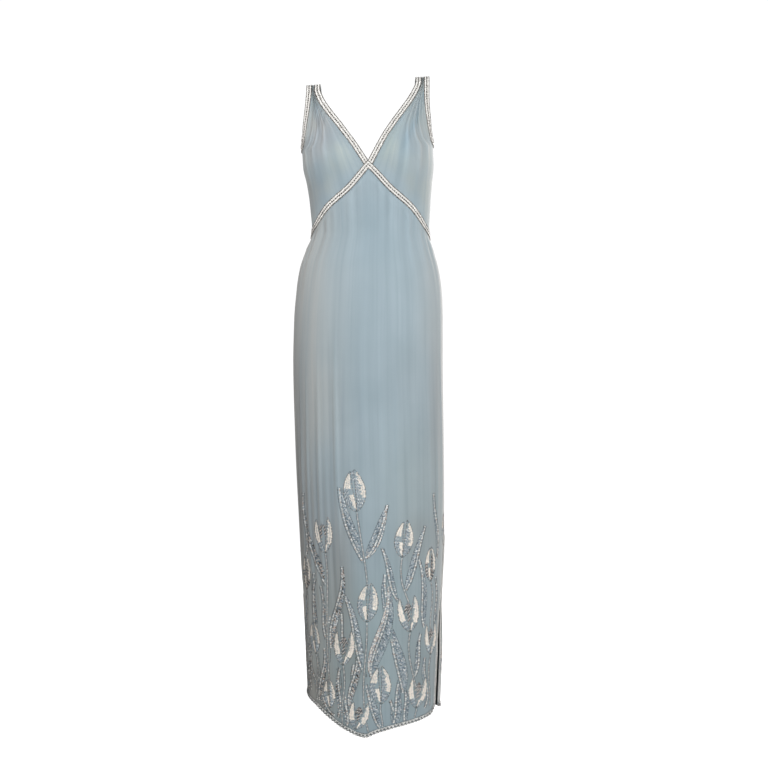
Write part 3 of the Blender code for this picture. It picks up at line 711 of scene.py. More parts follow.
# Soft patches in the front, partly where the layers show through and partly painted shade and
# painted light: darker on the lower left side, under the band and in thin lines along creases
# and gathers, lighter in other places. x and z of the middle, half width and half height, lean
# of the patch from upright in degrees, and what its colour is times
PAINTED_LIGHT_AND_LAYER_PATCHES = (
    (-0.121, -0.095, 0.005, 0.050, 4, (0.84, 0.84, 0.84)),
    (-0.108, -0.112, 0.004, 0.045, -14, (0.86, 0.87, 0.88)),
    (-0.104, -0.085, 0.003, 0.030, 8, (0.74, 0.74, 0.75)),
    (-0.094, -0.088, 0.003, 0.030, 10, (0.78, 0.78, 0.79)),
    (-0.095, -0.127, 0.024, 0.030, 0, (0.97, 0.93, 0.92)),
    (-0.112, -0.135, 0.028, 0.055, 0, (1.06, 0.97, 0.94)),
    (-0.102, -0.215, 0.024, 0.026, -20, (0.88, 0.94, 0.98)),
    (-0.118, -0.262, 0.022, 0.036, 0, (0.79, 0.82, 0.86)),
    (-0.066, -0.190, 0.020, 0.030, 20, (1.05, 1.04, 1.01)),
    (0.116, -0.070, 0.006, 0.040, 14, (0.84, 0.90, 0.94)),
    (0.092, -0.130, 0.008, 0.042, 22, (0.86, 0.93, 0.97)),
    (0.082, -0.190, 0.013, 0.034, 8, (0.93, 0.97, 0.99)),
    (0.050, -0.150, 0.014, 0.045, 24, (1.03, 1.03, 0.98)),
    (0.118, -0.160, 0.015, 0.045, 0, (1.06, 1.00, 0.96)),
    (0.114, -0.100, 0.022, 0.045, 0, (0.98, 0.94, 0.92)),
    (0.100, -0.245, 0.026, 0.030, 10, (0.91, 0.92, 0.93)),
    (0.000, -0.340, 0.090, 0.070, 0, (0.95, 0.97, 0.98)),
    (-0.100, -0.590, 0.040, 0.190, 0, (1.11, 1.06, 1.03)),
    (-0.170, -0.860, 0.030, 0.330, 0, (0.80, 0.81, 0.82)),
    (-0.120, -0.980, 0.050, 0.090, 0, (0.87, 0.87, 0.88)),
    (-0.150, -0.720, 0.010, 0.120, 0, (0.86, 0.88, 0.90)),
    (0.150, -0.720, 0.012, 0.120, 0, (0.95, 0.91, 0.90)),
    (0.058, -0.860, 0.040, 0.120, 0, (1.08, 1.08, 1.07)),
    (-0.100, -0.730, 0.030, 0.080, 0, (1.07, 1.03, 1.00)),
    (-0.060, -1.100, 0.025, 0.130, 0, (0.94, 0.86, 0.82)),
    (-0.120, -1.370, 0.060, 0.070, 0, (0.84, 0.80, 0.76)),
    (-0.025, -1.280, 0.022, 0.050, 0, (0.90, 0.86, 0.83)),
    (0.110, -1.020, 0.030, 0.050, 0, (0.95, 0.91, 0.89)),
    (0.110, -1.320, 0.030, 0.060, 0, (0.92, 0.91, 0.90)),
    (0.106, -1.250, 0.034, 0.110, 0, (0.94, 0.91, 0.89)),
    (-0.110, -1.200, 0.070, 0.150, 0, (0.88, 0.87, 0.86)),
    (0.000, -0.930, 0.050, 0.080, 0, (1.05, 1.04, 1.03)),
    (0.000, -1.250, 0.120, 0.150, 0, (1.00, 1.00, 0.96)),
    (0.135, -0.500, 0.025, 0.100, 0, (1.06, 1.00, 0.97)),
    (0.115, -0.700, 0.050, 0.110, 0, (0.96, 0.94, 0.93)),
    (0.110, -0.950, 0.055, 0.140, 0, (0.96, 0.93, 0.89)),
    (-0.082, -0.745, 0.0020, 0.155, -1.0, (0.86, 0.87, 0.88)),
    (-0.074, -0.640, 0.0030, 0.120, 0.6, (0.95, 0.96, 0.96)),
    (-0.112, -0.800, 0.0020, 0.120, -0.4, (0.86, 0.87, 0.88)),
    (-0.146, -0.800, 0.0028, 0.130, 0.0, (0.90, 0.90, 0.90)),
    (-0.052, -0.720, 0.0024, 0.100, 0.3, (0.90, 0.91, 0.93)),
    (-0.012, -0.800, 0.0030, 0.130, 0.0, (0.95, 0.96, 0.97)),
    (0.060, -0.820, 0.0040, 0.160, 0.4, (0.95, 0.96, 0.97)),
    (0.112, -0.860, 0.0030, 0.170, 0.3, (0.92, 0.93, 0.94)),
)
# How steeply a patch fades at its edge, and the power that keeps its tone even up to its ends
PATCH_FADE = 0.7
PATCH_ENDS = 4
# Painted shade on the inner face: what its tones are times, in general and inside the slit,
# where a painted shadow stands for the dark behind the slit, and where that shadow starts and
# how far it takes to set in, to the side and down
INSIDE_PAINTED_SHADE = 0.75
SLIT_PAINTED_SHADOW = 0.05
SLIT_DARK_SIDE = 0.06
SLIT_DARK_WIDTH = 0.05
SLIT_DARK_DROP = 0.10


def inside_painted_shade(points):
    """Painted shade: darker inside, and a painted shadow, darkest, behind the slit."""
    sideways = np.clip((points[:, 0] - SLIT_DARK_SIDE) / SLIT_DARK_WIDTH, 0, 1)
    below = np.clip((SLIT_TOP - points[:, 2]) / SLIT_DARK_DROP, 0, 1)
    return (INSIDE_PAINTED_SHADE + sideways * below * (SLIT_PAINTED_SHADOW - INSIDE_PAINTED_SHADE))[:, None]


def painted_fold_shade(lift, shade):
    """Painted shade in the hollows between folds, and a little painted highlight on their crests."""
    side = HOLLOW_COLUMNS // 2
    if lift.shape[1] <= 2 * HOLLOW_COLUMNS:
        return np.ones(lift.shape)
    padded = np.pad(lift, ((0, 0), (side, side)), mode="edge")
    summed = np.cumsum(np.pad(padded, ((0, 0), (1, 0))), axis=1)
    average = (summed[:, HOLLOW_COLUMNS:] - summed[:, :-HOLLOW_COLUMNS]) / HOLLOW_COLUMNS
    return 1 - shade * np.clip((average - lift) / HOLLOW_DEPTH, -CREST_SHARE, 1)


def painted_light_and_layer_tones(points):
    """What the cloth's colour is times at points of the front: layer tones, painted shade and painted
    light.
    """
    tones = np.ones(points.shape)
    front = points[:, 1] < 0
    for x, z, half_width, half_height, lean, tone in PAINTED_LIGHT_AND_LAYER_PATCHES:
        c = math.cos(math.radians(lean))
        s = math.sin(math.radians(lean))
        across = (points[:, 0] - x) * c - (points[:, 2] - z) * s
        along = (points[:, 0] - x) * s + (points[:, 2] - z) * c
        away = (across / half_width) ** 2 + (along / half_height) ** PATCH_ENDS
        share = front * np.exp(-PATCH_FADE * away)
        tones *= 1 + share[:, None] * (np.array(tone) - 1)
    return tones


def joined(blocks, shade):
    """Points, normals, cloth places, tones and triangles of blocks, welded where they meet."""
    points = []
    normals = []
    places = []
    tones = []
    triangles = []
    count = 0
    for turn, down, lift, *given in blocks:
        normal = outward(turn, down)
        points.append((surface(turn, down) + lift[..., None] * normal).reshape(-1, 3))
        normals.append(normal.reshape(-1, 3))
        place = given[0] if given else np.stack((turn * CLOTH_RADIUS, -down), axis=-1)
        places.append(place.reshape(-1, 2))
        # The tones hold painted shade in the fold hollows and a painted highlight on the crests
        tones.append(painted_fold_shade(lift, shade).reshape(-1, 1))
        triangles.append(grid_triangles(np.arange(turn.size).reshape(turn.shape) + count))
        count += turn.size
    points = np.concatenate(points)
    keys = np.round(points, WELD_DIGITS) + 0.0
    _, first, number = np.unique(keys, axis=0, return_index=True, return_inverse=True)
    number = number.ravel()
    summed = np.zeros((len(first), 3))
    np.add.at(summed, number, np.concatenate(normals))
    triangles = number[np.concatenate(triangles)]
    a, b, c = triangles.T
    triangles = triangles[(a != b) & (b != c) & (a != c)]
    points = points[first]
    # The patches add painted shade and painted light, with the layer tones, to the painted fold shade
    tones = np.concatenate(tones)[first] * painted_light_and_layer_tones(points)
    return points, unit(summed), np.concatenate(places)[first], tones, triangles


def wall(blocks, back_face, front_face, shade):
    """Points, places, tones and triangles of a closed thin wall between two offsets."""
    points, normals, places, tones, triangles = joined(blocks, shade)
    a, b, c = triangles.T
    face = np.cross(points[b] - points[a], points[c] - points[a])
    turned_in = np.sum(face * normals[a], axis=1) < 0
    triangles = np.where(turned_in[:, None], triangles[:, [0, 2, 1]], triangles)
    count = len(points)
    edges = np.concatenate((triangles[:, [0, 1]], triangles[:, [1, 2]], triangles[:, [2, 0]]))
    forward = edges[:, 0] * count + edges[:, 1]
    reverse = edges[:, 1] * count + edges[:, 0]
    a, b = edges[~np.isin(forward, reverse)].T
    lower_rim = np.stack((a, a + count, b + count), axis=1)
    upper_rim = np.stack((a, b + count, b), axis=1)
    inner = triangles[:, [0, 2, 1]] + count
    faces = np.concatenate((triangles, inner, lower_rim, upper_rim))
    points_of_both = np.concatenate((points + front_face * normals, points + back_face * normals))
    # The inner face gets painted shade, and a painted shadow behind the slit
    tones_of_both = np.concatenate((tones, inside_painted_shade(points) * tones))
    return points_of_both, np.concatenate((places, places)), tones_of_both, faces


def new_piece(name, points, triangles, material, slot, sharp=None):
    """A mesh object from arrays, riding on the gown's one body.

    It is smooth but for its edges past the angle sharp, or flat shaded where none is given.
    """
    mesh = bpy.data.meshes.new(name)
    mesh.vertices.add(len(points))
    mesh.vertices.foreach_set("co", points.astype(np.float32).ravel())
    mesh.loops.add(triangles.size)
    mesh.loops.foreach_set("vertex_index", triangles.astype(np.int32).ravel())
    mesh.polygons.add(len(triangles))
    mesh.polygons.foreach_set("loop_start", np.arange(0, triangles.size, 3, dtype=np.int32))
    mesh.update(calc_edges=True)
    mesh.polygons.foreach_set("use_smooth", np.full(len(triangles), bool(sharp)))
    if sharp:
        mesh.set_sharp_from_angle(angle=sharp)
    mesh.materials.append(material)
    piece = bpy.data.objects.new(name, mesh)
    bpy.context.scene.collection.objects.link(piece)
    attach(piece, "root")
    return piece


def add_cloth(name, blocks, back_face, front_face, material, slot, shade=0.0, inside=None):
    """A thin closed shell of cloth, with its cloth places and its tones kept for the material. The
    tones hold painted shade and painted light, and layer tones.

    inside is the material of its inner face, where that is another.
    """
    points, places, tones, triangles = wall(blocks, back_face, front_face, shade)
    piece = new_piece(name, points, triangles, material, slot, sharp=SHARP_EDGE)
    layer = piece.data.uv_layers.new(name="cloth")
    layer.uv.foreach_set("vector", places[triangles.ravel()].astype(np.float32).ravel())
    kept = piece.data.attributes.new(name="tone", type="FLOAT_VECTOR", domain="POINT")
    kept.data.foreach_set("vector", tones.astype(np.float32).ravel())
    if inside:
        piece.data.materials.append(inside)
        inner = triangles.min(axis=1) >= len(points) // 2
        piece.data.polygons.foreach_set("material_index", inner.astype(np.int32))
    return piece


def cone(sides):
    """A ring with a point above and a flat underside."""
    turns = np.arange(sides) * 2 * math.pi / sides
    ring = [(math.cos(turn), math.sin(turn), 0) for turn in turns]
    faces = [(i, (i + 1) % sides, sides) for i in range(sides)]
    faces += [(0, i + 1, i) for i in range(1, sides - 1)]
    return np.array([*ring, (0, 0, 1)]), np.array(faces)


def ridge():
    """A bar with a ridge along its top and a flat underside."""
    ends = [(x, y, z) for x in (-1, 1) for y, z in ((-1, 0), (0, 1), (1, 0))]
    faces = [(0, 1, 2), (3, 5, 4), (0, 3, 4), (0, 4, 1), (1, 4, 5), (1, 5, 2), (2, 5, 3), (2, 3, 0)]
    return np.array(ends, float), np.array(faces)


# Bead shapes in their own space: along the thread, across it, out from the cloth
SHAPES = {"seed": cone(6), "chip": cone(4), "bugle": ridge()}
# How unevenly beads are sewn: tilt, turn and size as shares, the most that a size may stray
# as times its share, and a fixed seed for each set of meshes
BEAD_TILT = 0.30
BEAD_TURN = 0.10
BEAD_SPREAD = 0.08
BEAD_STRAY = 2
BEAD_SEED = 7
# How far a bead's underside stands off a band, or off the chiffon, as a share of its height
BAND_BEAD_LIFT = 0.5
BORDER_BEAD_LIFT = 0.55


def bead_points(form, centres, along, normals, size, uneven):
    """The points of beads of one form, each a little out of line."""
    normals = unit(normals)
    across = unit(np.cross(normals, along))
    tilt, turn, spread = uneven.normal(size=(3, len(centres), 1))
    along = np.cross(across, normals) + BEAD_TURN * turn * across
    normals = unit(normals + BEAD_TILT * tilt * across)
    across = unit(np.cross(normals, along))
    along = np.cross(across, normals)
    size = size * (1 + BEAD_SPREAD * np.clip(spread, -BEAD_STRAY, BEAD_STRAY))
    frames = np.stack((along, across, normals), axis=1) * size[..., None]
    return centres[:, None] + np.einsum("vk,nkx->nvx", form, frames)


class Tray:
    """Beads waiting to be joined into one mesh for each finish."""

    def __init__(self):
        self.beads = {}

    def add(self, finish, shape, centres, along, normals, size):
        """Beads with half sizes along the thread and across it, and their height."""
        size = np.broadcast_to(size, centres.shape)
        self.beads.setdefault(finish, []).append((shape, centres, along, normals, size))

    def row(self, finish, shape, points, normals, pitch, size, start):
        """Beads at an even pitch along a row of points."""
        length = lengths_along(points)
        places = np.arange(start * pitch, length[-1], pitch)
        if len(places):
            centres = sampled(places, length, points)
            along = sampled(places, length, np.gradient(points, axis=0))
            self.add(finish, shape, centres, along, sampled(places, length, normals), size)

    def make(self, name, materials):
        """One joined mesh for each finish."""
        uneven = np.random.default_rng(BEAD_SEED)
        pieces = []
        for finish, batches in self.beads.items():
            points = []
            faces = []
            count = 0
            for shape, *batch in batches:
                form, corners = SHAPES[shape]
                placed = bead_points(form, *batch, uneven)
                starts = count + np.arange(len(placed)) * len(form)
                points.append(placed.reshape(-1, 3))
                faces.append((starts[:, None, None] + corners).reshape(-1, 3))
                count += len(placed) * len(form)
            arrays = (np.concatenate(points), np.concatenate(faces))
            pieces.append(new_piece(f"{name}_{finish}", *arrays, materials[finish], "beadwork"))
        return pieces


# Bead rows of a band: share of its width, finish, shape, pitch, half length, half width and
# height in mm
BAND_ROWS = (
    (0.060, "bronze", "chip", 1.9, (1.1, 1.15, 0.8)),
    (0.255, "white", "seed", 2.4, (1.25, 1.95, 0.9)),
    (0.500, "bronze", "bugle", 5.8, (1.95, 1.15, 0.7)),
    (0.500, "white", "seed", 5.8, (0.95, 1.10, 0.8)),
    (0.745, "white", "seed", 2.4, (1.25, 1.95, 0.9)),
    (0.940, "bronze", "chip", 1.9, (1.1, 1.25, 0.8)),
)
# Where the first bead of a band's row lies, as a share of its pitch. The seeds of the middle
# row come out between its bugles
BAND_STARTS = {"bugle": 0.25, "seed": 0.75, "chip": 0.5}


def on_cloth(turn, down, lift):
    """Points at a lift off the cloth's smooth face, and their normals."""
    normals = outward(turn, down)
    return surface(turn, down) + np.asarray(lift)[..., None] * normals, normals


def sew_band(tray, lines, width, sides):
    """All the bead rows of a band. lines(offsets) gives turns and downs, a column for each offset."""
    offsets = np.array([row[0] for row in BAND_ROWS]) * width
    turns, downs = lines(offsets)
    for side in sides:
        for column, (_, finish, shape, pitch, size) in enumerate(BAND_ROWS):
            size = np.array(size) * MM
            lift = RIBBON_GAP + RIBBON_WALL + BAND_BEAD_LIFT * size[2]
            points, normals = on_cloth(side * turns[:, column], downs[:, column], lift)
            tray.row(finish, shape, points, normals, pitch * MM, size, BAND_STARTS[shape])


def underbust_lines(offsets):
    """Lines along the band under the bust, from side seam to side seam."""
    turn = np.linspace(-SIDE, SIDE, UNDERBUST_STEPS)[:, None]
    down = seam_down(turn) + (offsets - 0.5 * UNDERBUST_BAND) * seam_slant(turn)
    return turn + 0 * down, down


def sew_upper_bands(tray):
    """The beads of the neck bands, the armhole bands and the band under the bust."""
    shares = np.linspace(0, 1, ROUTE_STEPS)
    both = (1, -1)
    for back in (False, True):
        sew_band(tray, lambda offsets: neck_strip(back, offsets, shares), NECK_BAND, both)
        sew_band(tray, lambda offsets: armhole_strip(back, offsets, ROUTE_STEPS), ARMHOLE_BAND, both)
    sew_band(tray, underbust_lines, UNDERBUST_BAND, (1,))


# Bead rows of the hem and of the slit's edges: distance from the edge in mm, finish, shape,
# pitch, half length, half width and height in mm, start as a share of the pitch
HEM_ROWS = (
    (-0.7, "white", "seed", 8.0, (2.6, 2.0, 0.5), 0.0),
    (-0.2, "bronze", "seed", 8.0, (1.3, 1.6, 0.9), 0.5),
    (2.9, "bronze", "seed", 8.0, (1.5, 1.5, 0.9), 0.0),
    (2.9, "white", "seed", 8.0, (2.5, 1.6, 0.5), 0.5),
    (5.6, "white", "seed", 4.0, (1.9, 1.3, 0.5), 0.25),
    (7.6, "bronze", "chip", 4.0, (1.6, 0.8, 0.6), 0.0),
)
SLIT_ROWS = (
    (0.6, "white", "seed", 2.6, (1.25, 1.1, 0.9), 0.0),
    (2.6, "bronze", "chip", 4.2, (1.4, 0.9, 0.7), 0.0),
    (2.6, "silver", "chip", 4.2, (0.8, 0.8, 0.7), 0.5),
    (4.3, "silver", "seed", 2.2, (1.05, 0.95, 0.8), 0.0),
)
# A turn at the foot of the slit, where the hem's height there is read
SLIT_FOOT = 1.1


def sew_edge_rows(tray, rows, turn, down, side):
    """Bead rows beside an edge of the skirt."""
    for distance, finish, shape, pitch, size, start in rows:
        size = np.array(size) * MM
        row_turn, row_down = beside(turn, down, side * distance * MM)
        lift = fold_lift(row_turn, row_down) + RIBBON_GAP + RIBBON_WALL + BAND_BEAD_LIFT * size[2]
        points, normals = on_cloth(row_turn, row_down, lift)
        tray.row(finish, shape, points, normals, pitch * MM, size, start)


def sew_lower_edges(tray):
    """The hem from the slit's back edge round to its front edge, and both edges of the slit."""
    foot_down = hem_down(slit_turn(hem_down(SLIT_FOOT), 1))
    slit_downs = np.linspace(down_at(SLIT_TOP), foot_down, ROUTE_STEPS)
    edges = [(slit_turn(slit_downs, column), side) for column, side in ((1, -1), (2, 1))]
    front_turns, back_turns = (turns for turns, _ in edges)
    hem_turns = np.linspace(back_turns[-1], 2 * BACK + front_turns[-1], HEM_STEPS)
    sew_edge_rows(tray, HEM_ROWS, hem_turns, hem_down(hem_turns), side=1)
    for turns, side in edges:
        clear = slit_downs < hem_down(turns) - HEM_BAND
        sew_edge_rows(tray, SLIT_ROWS, turns[clear], slit_downs[clear], side)


# The flower border is drawn on a flat chart, then laid on the skirt: across is the length
# round the skirt from the centre front, up is the height. Both are in metres. The length is
# taken at one height, between two turns
CHART_HEIGHT = -1.22
CHART_START = -0.6 * BACK
CHART_END = 1.6 * BACK
CHART_STEPS = 3000
CHART_TURNS = np.linspace(CHART_START, CHART_END, CHART_STEPS)
CHART_POINTS = surface(CHART_TURNS, np.full(CHART_STEPS, down_at(CHART_HEIGHT)))
CHART_LENGTHS = lengths_along(CHART_POINTS)
CHART_LENGTHS -= np.interp(0.0, CHART_TURNS, CHART_LENGTHS)
# The chart's cells that already hold beads. A shape that is sewn later passes behind them
CELL = 0.001
CHART_LEFT = CHART_LENGTHS[0]
CHART_LOW = -1.5
CHART_ROWS = 700
CHART_COLUMNS = int(CHART_LENGTHS[-1] / CELL) - int(CHART_LEFT / CELL) + 2
TAKEN = np.zeros((CHART_COLUMNS, CHART_ROWS), bool)
# Room kept between the border and the beaded edges
EDGE_ROOM = 0.003


def chart_across(turn):
    """Length round the skirt from the centre front to a turn."""
    return np.interp(turn, CHART_TURNS, CHART_LENGTHS)


def chart_place(flat):
    """Turns and downs of flat places."""
    return np.interp(flat[:, 0], CHART_LENGTHS, CHART_TURNS), down_at(flat[:, 1])


def clear_of_edges(turn, down):
    """Which places lie on the skirt, clear of the hem's and the slit's bands."""
    above_hem = down < hem_down(turn) - HEM_BAND - EDGE_ROOM
    room = (SLIT_BAND + EDGE_ROOM) / CLOTH_RADIUS
    below_slit_top = down > down_at(SLIT_TOP) - EDGE_ROOM
    in_front = turn < slit_turn(down, 1) - room
    behind = turn > slit_turn(down, 2) + room
    return above_hem & (in_front | behind | ~below_slit_top)


def cells(flat):
    """Column and row numbers of the chart's cells at flat places."""
    numbers = ((flat - (CHART_LEFT, CHART_LOW)) / CELL).astype(int)
    return tuple(np.clip(numbers, 0, np.array(TAKEN.shape) - 1).T)


def take(flat):
    """Keep the chart's cells at and round flat places for what has been sewn there."""
    for across in (-1, 0, 1):
        for up in (-1, 0, 1):
            TAKEN[cells(flat + np.array((across, up)) * CELL)] = True


def sew_flat(tray, finish, shape, flat, direction, size):
    """Beads at flat places, with flat directions along their threads. A gap has none."""
    if finish == "gap":
        return
    turn, down = chart_place(flat)
    keep = clear_of_edges(turn, down) & ~TAKEN[cells(flat)]
    if not keep.any():
        return
    turn = turn[keep]
    down = down[keep]
    size = np.broadcast_to(size, (len(flat), 3))[keep]
    by_turn, by_down = tangents(turn, down)
    along = direction[keep, :1] * unit(by_turn) + direction[keep, 1:] * unit(-by_down)
    points, normals = on_cloth(turn, down, fold_lift(turn, down) + BORDER_BEAD_LIFT * size[:, 2])
    tray.add(finish, shape, points, along, normals, size)


def sew_flat_row(tray, finishes, shape, line, pitch, size, start=0.5):
    """Beads at an even pitch along a flat line. Their finishes take turns."""
    length = lengths_along(line)
    places = np.arange(start * pitch, length[-1], pitch)
    flat = sampled(places, length, line)
    direction = unit(sampled(places, length, np.gradient(line, axis=0)))
    for first, finish in enumerate(finishes):
        turns = slice(first, None, len(finishes))
        sew_flat(tray, finish, shape, flat[turns], direction[turns], np.array(size) * MM)


def sew_bugles(tray, finishes, chosen, starts, ends, shortest, size, fullness):
    """Bugles from flat places to flat places, with the number of the finish chosen for each.

    They fill a share of the way. Where it is shorter than shortest, there is none.
    """
    span = ends - starts
    reach = np.linalg.norm(span, axis=1)
    for number, finish in enumerate(finishes):
        keep = (reach > shortest) & (chosen == number)
        sizes = np.tile(np.array(size) * MM, (keep.sum(), 1))
        sizes[:, 0] = fullness * reach[keep]
        direction = span[keep] / reach[keep, None]
        sew_flat(tray, finish, "bugle", (0.5 * (starts + ends))[keep], direction, sizes)


def curve(points, share):
    """A Bezier curve of any number of points."""
    points = np.array(points, float)
    order = len(points) - 1
    share = np.asarray(share)[:, None]
    total = 0.0
    for i, point in enumerate(points):
        total = total + math.comb(order, i) * share ** i * (1 - share) ** (order - i) * point
    return total


def square_to(line):
    """Unit directions square to a flat line, on its left."""
    along = unit(np.gradient(line, axis=0))
    return np.stack((-along[:, 1], along[:, 0]), axis=1)


# Points along a blade and along its edge, rows and columns of the cells that it keeps, points
# of the lines that are kept beside a rib or a stem
BLADE_STEPS = 80
EDGE_STEPS = 90
TAKEN_ROWS = 260
TAKEN_COLUMNS = 28
LINE_STEPS = 400
# Power of a blade's half width. The smaller, the blunter its ends
BLADE_BLUNTNESS = 0.75
# How far past its half width a petal keeps cells, as a share
PETAL_TAKES = 1.05


class Blade:
    """A petal or leaf: a middle line with a half width at each share of its length."""

    def __init__(self, controls, half_width, skew):
        self.shares = np.linspace(0, 1, BLADE_STEPS)
        self.line = curve(controls, self.shares)
        self.square = square_to(self.line)
        self.half = half_width * np.sin(math.pi * self.shares ** skew) ** BLADE_BLUNTNESS
        self.lengths = lengths_along(self.line)

    def at(self, share, across):
        """Flat places at shares of the length, and at shares of the half width across."""
        half = np.interp(share, self.shares, self.half) * across
        square = sampled(share, self.shares, self.square)
        return sampled(share, self.shares, self.line) + half[:, None] * square


def take_blade(blade, low=-PETAL_TAKES, high=PETAL_TAKES):
    """Keep a blade's whole face, between two shares of its half width."""
    for across in np.linspace(low, high, TAKEN_COLUMNS):
        take(blade.at(np.linspace(0, 1, TAKEN_ROWS), across))


# Petals of a flower in shares of its length: root side, belly side and height, tip side and
# height, half width, and a power. The larger that is, the nearer the tip it is widest
PETALS = {
    "middle": (0.00, 0.02, 0.55, 0.03, 1.00, 0.125, 1.60),
    "left": (-0.01, -0.33, 0.40, -0.045, 0.99, 0.150, 0.92),
    "right": (0.01, 0.34, 0.44, 0.065, 1.03, 0.150, 0.98),
}
# The same of a wide flower, whose petals stand apart at the top
WIDE_PETALS = {
    "middle": (0.00, 0.00, 0.50, 0.00, 0.84, 0.150, 1.20),
    "left": (-0.01, -0.30, 0.36, -0.27, 0.97, 0.125, 1.00),
    "right": (0.01, 0.32, 0.40, 0.25, 1.02, 0.135, 1.05),
}
BLUES = ("pale", "blue", "pale", "pale", "silver")
DARKS = ("bronze", "rose", "silver", "bronze", "blue")
PETAL_EDGE = ("bronze", "bronze", "rose", "bronze", "blue")
# What fills them: petal, finishes, start and end along, first and second side, tooth, tilt
PETAL_FILLS = (
    ("left", ("ivory",), (0.62, 0.98), (-0.55, 0.95), 0.16, 0.0),
    ("left", BLUES, (0.16, 0.60), (0.95, -0.10), 0.0, 0.06),
    ("left", ("ivory",), (0.06, 0.46), (-0.15, -0.98), 0.22, 0.0),
    ("right", ("ivory",), (0.36, 0.93), (0.00, -0.95), 0.40, 0.0),
    ("right", BLUES, (0.10, 0.34), (0.80, -0.90), 0.0, -0.05),
    ("right", BLUES, (0.36, 0.84), (0.95, 0.20), 0.0, -0.06),
    ("middle", BLUES, (0.66, 1.00), (0.95, -0.95), 0.0, 0.06),
)
WIDE_FILLS = (
    ("left", ("ivory",), (0.38, 0.97), (0.95, -0.55), 0.30, 0.0),
    ("left", BLUES, (0.10, 0.36), (0.90, -0.90), 0.0, 0.05),
    ("right", ("ivory",), (0.30, 0.97), (0.35, -0.95), 0.40, 0.0),
    ("right", ("ivory",), (0.05, 0.28), (0.90, 0.10), 0.20, 0.0),
    ("right", BLUES, (0.08, 0.28), (0.05, -0.90), 0.0, -0.05),
    ("middle", DARKS, (0.30, 0.97), (0.95, -0.95), 0.0, 0.10),
)
# A flower less open than this is a bud, with a dark inside
BUD = 0.64
# Pitch and longest half length of a flower's bugles, the shortest way that holds one, the
# share of the way that half of it is, and the tooth of the second side as a share
FLOWER_PITCH = 1.5 * MM
FLOWER_LONGEST = 3.6 * MM
FLOWER_SHORTEST = 1.2 * MM
FLOWER_FULLNESS = 0.46
FAR_TOOTH = 0.5
# Half length, half width and height of the border's beads, in mm. A bugle's half length here
# is replaced by its own
FLOWER_BEAD = (1.0, 0.78, 0.40)
LEAF_BEAD = (1.0, 1.05, 0.45)
OUTLINE_BEAD = (1.15, 1.05, 0.50)
OUTLINE_PITCH = 2.2 * MM

# Rows of a stem: distance from the middle in mm, finishes, half width. Their pitch, their half
# length and height, and the half width of cloth that they keep
STEM_ROWS = (
    (-2.0, ("bronze", "bronze", "blue"), 0.65),
    (0.0, ("rose", "white", "silver", "rose", "pale"), 1.40),
    (2.0, ("bronze", "blue", "bronze"), 0.65),
)
STEM_PITCH = 2.3 * MM
STEM_HALF_LENGTH = 1.15
STEM_HEIGHT = 0.55
STEM_TAKES = 3

# The beads of a leaf's rib: finishes, shape, pitch, half length, half width and height in mm,
# start as a share of the pitch. White beads are mixed with others, and dark chips part them
RIB_BEADS = ("white", "white", "rose", "white", "silver", "white", "white", "pale")
RIB_ROWS = (
    (RIB_BEADS, "seed", 3.3, (1.50, 2.20, 0.45), 0.0),
    (("bronze",), "chip", 3.3, (0.45, 1.40, 0.50), 0.5),
)
# The dark line outside a rib, from the rib's middle in mm
RIB_EDGE = 3.1
RIB_LINE = ("bronze", "bronze", "blue")
# A leaf with a smaller half width than this is its rib alone
NARROW = 5 * MM
LEAF_BLUES = ("blue", "pale", "silver", "pale", "blue", "pale", "gap")
LEAF_GREYS = ("bronze", "silver", "pale", "rose", "blue", "gap")
LEAF_COMB = ("white", "silver", "pale", "rose")
LEAF_EDGE = ("bronze", "blue", "bronze", "gap")
# The power that sets where a leaf is widest, as for petals
LEAF_SKEW = 0.80
# Where a leaf's bugles start, from the middle of its rib, their pitch and the width of their
# columns, the shortest way that holds one and the share of it that half a bugle is
LEAF_NEAR = 3.9 * MM
LEAF_PITCH = 2.3 * MM
LEAF_COLUMN = 3.2 * MM
LEAF_SHORTEST = 0.7 * MM
LEAF_FULLNESS = 0.48
# Shares of a leaf: the slant of a bugle, the start and the length of its columns, how far
# they reach to its edge, how far a comb reaches on its other side, and what it keeps
LEAF_TILT = -0.012
LEAF_START = 0.05
LEAF_LENGTH = 0.92
LEAF_REACH = 0.92
COMB_REACH = 0.6
LEAF_TAKES = 1.08
# Leaves that start further to the -X side than this, in mm, are greyer
GREY_SIDE = -30

# Mixes finishes and ragged edges, with a fixed seed
MIXING = np.random.default_rng(11)


def fill(tray, finishes, blade, ends, sides, tooth, tilt):
    """Bugles laid across a petal side by side, in as many columns as their length needs.

    ends are shares of the petal's length and sides are shares of its half width. The finishes
    take turns. tooth makes the sides uneven and tilt slants the bugles.
    """
    start, end = ends
    left, right = sides
    width = abs(right - left) * blade.half.max()
    columns = max(1, math.ceil(width / (2 * FLOWER_LONGEST)))
    count = max(1, int((end - start) * blade.lengths[-1] / FLOWER_PITCH))
    number = np.arange(count)
    share = start + (end - start) * (number + 0.5) / count
    jag = tooth * MIXING.uniform(-1, 1, count)
    edges = np.linspace(0, 1, columns + 1)
    for low, high in zip(edges[:-1], edges[1:]):
        near = left + (right - left) * low + (jag if low == 0 else 0)
        far = left + (right - left) * high + (FAR_TOOTH * jag if high == 1 else 0)
        starts = blade.at(share, near)
        stops = blade.at(np.clip(share + tilt, 0, 1), far)
        chosen = number % len(finishes)
        sew_bugles(
            tray, finishes, chosen, starts, stops, FLOWER_SHORTEST, FLOWER_BEAD, FLOWER_FULLNESS
        )


def outline(tray, finishes, blade, side):
    """Dark beads along one edge of a blade."""
    line = blade.at(np.linspace(0, 1, EDGE_STEPS), side)
    sew_flat_row(tray, finishes, "chip", line, OUTLINE_PITCH, OUTLINE_BEAD)


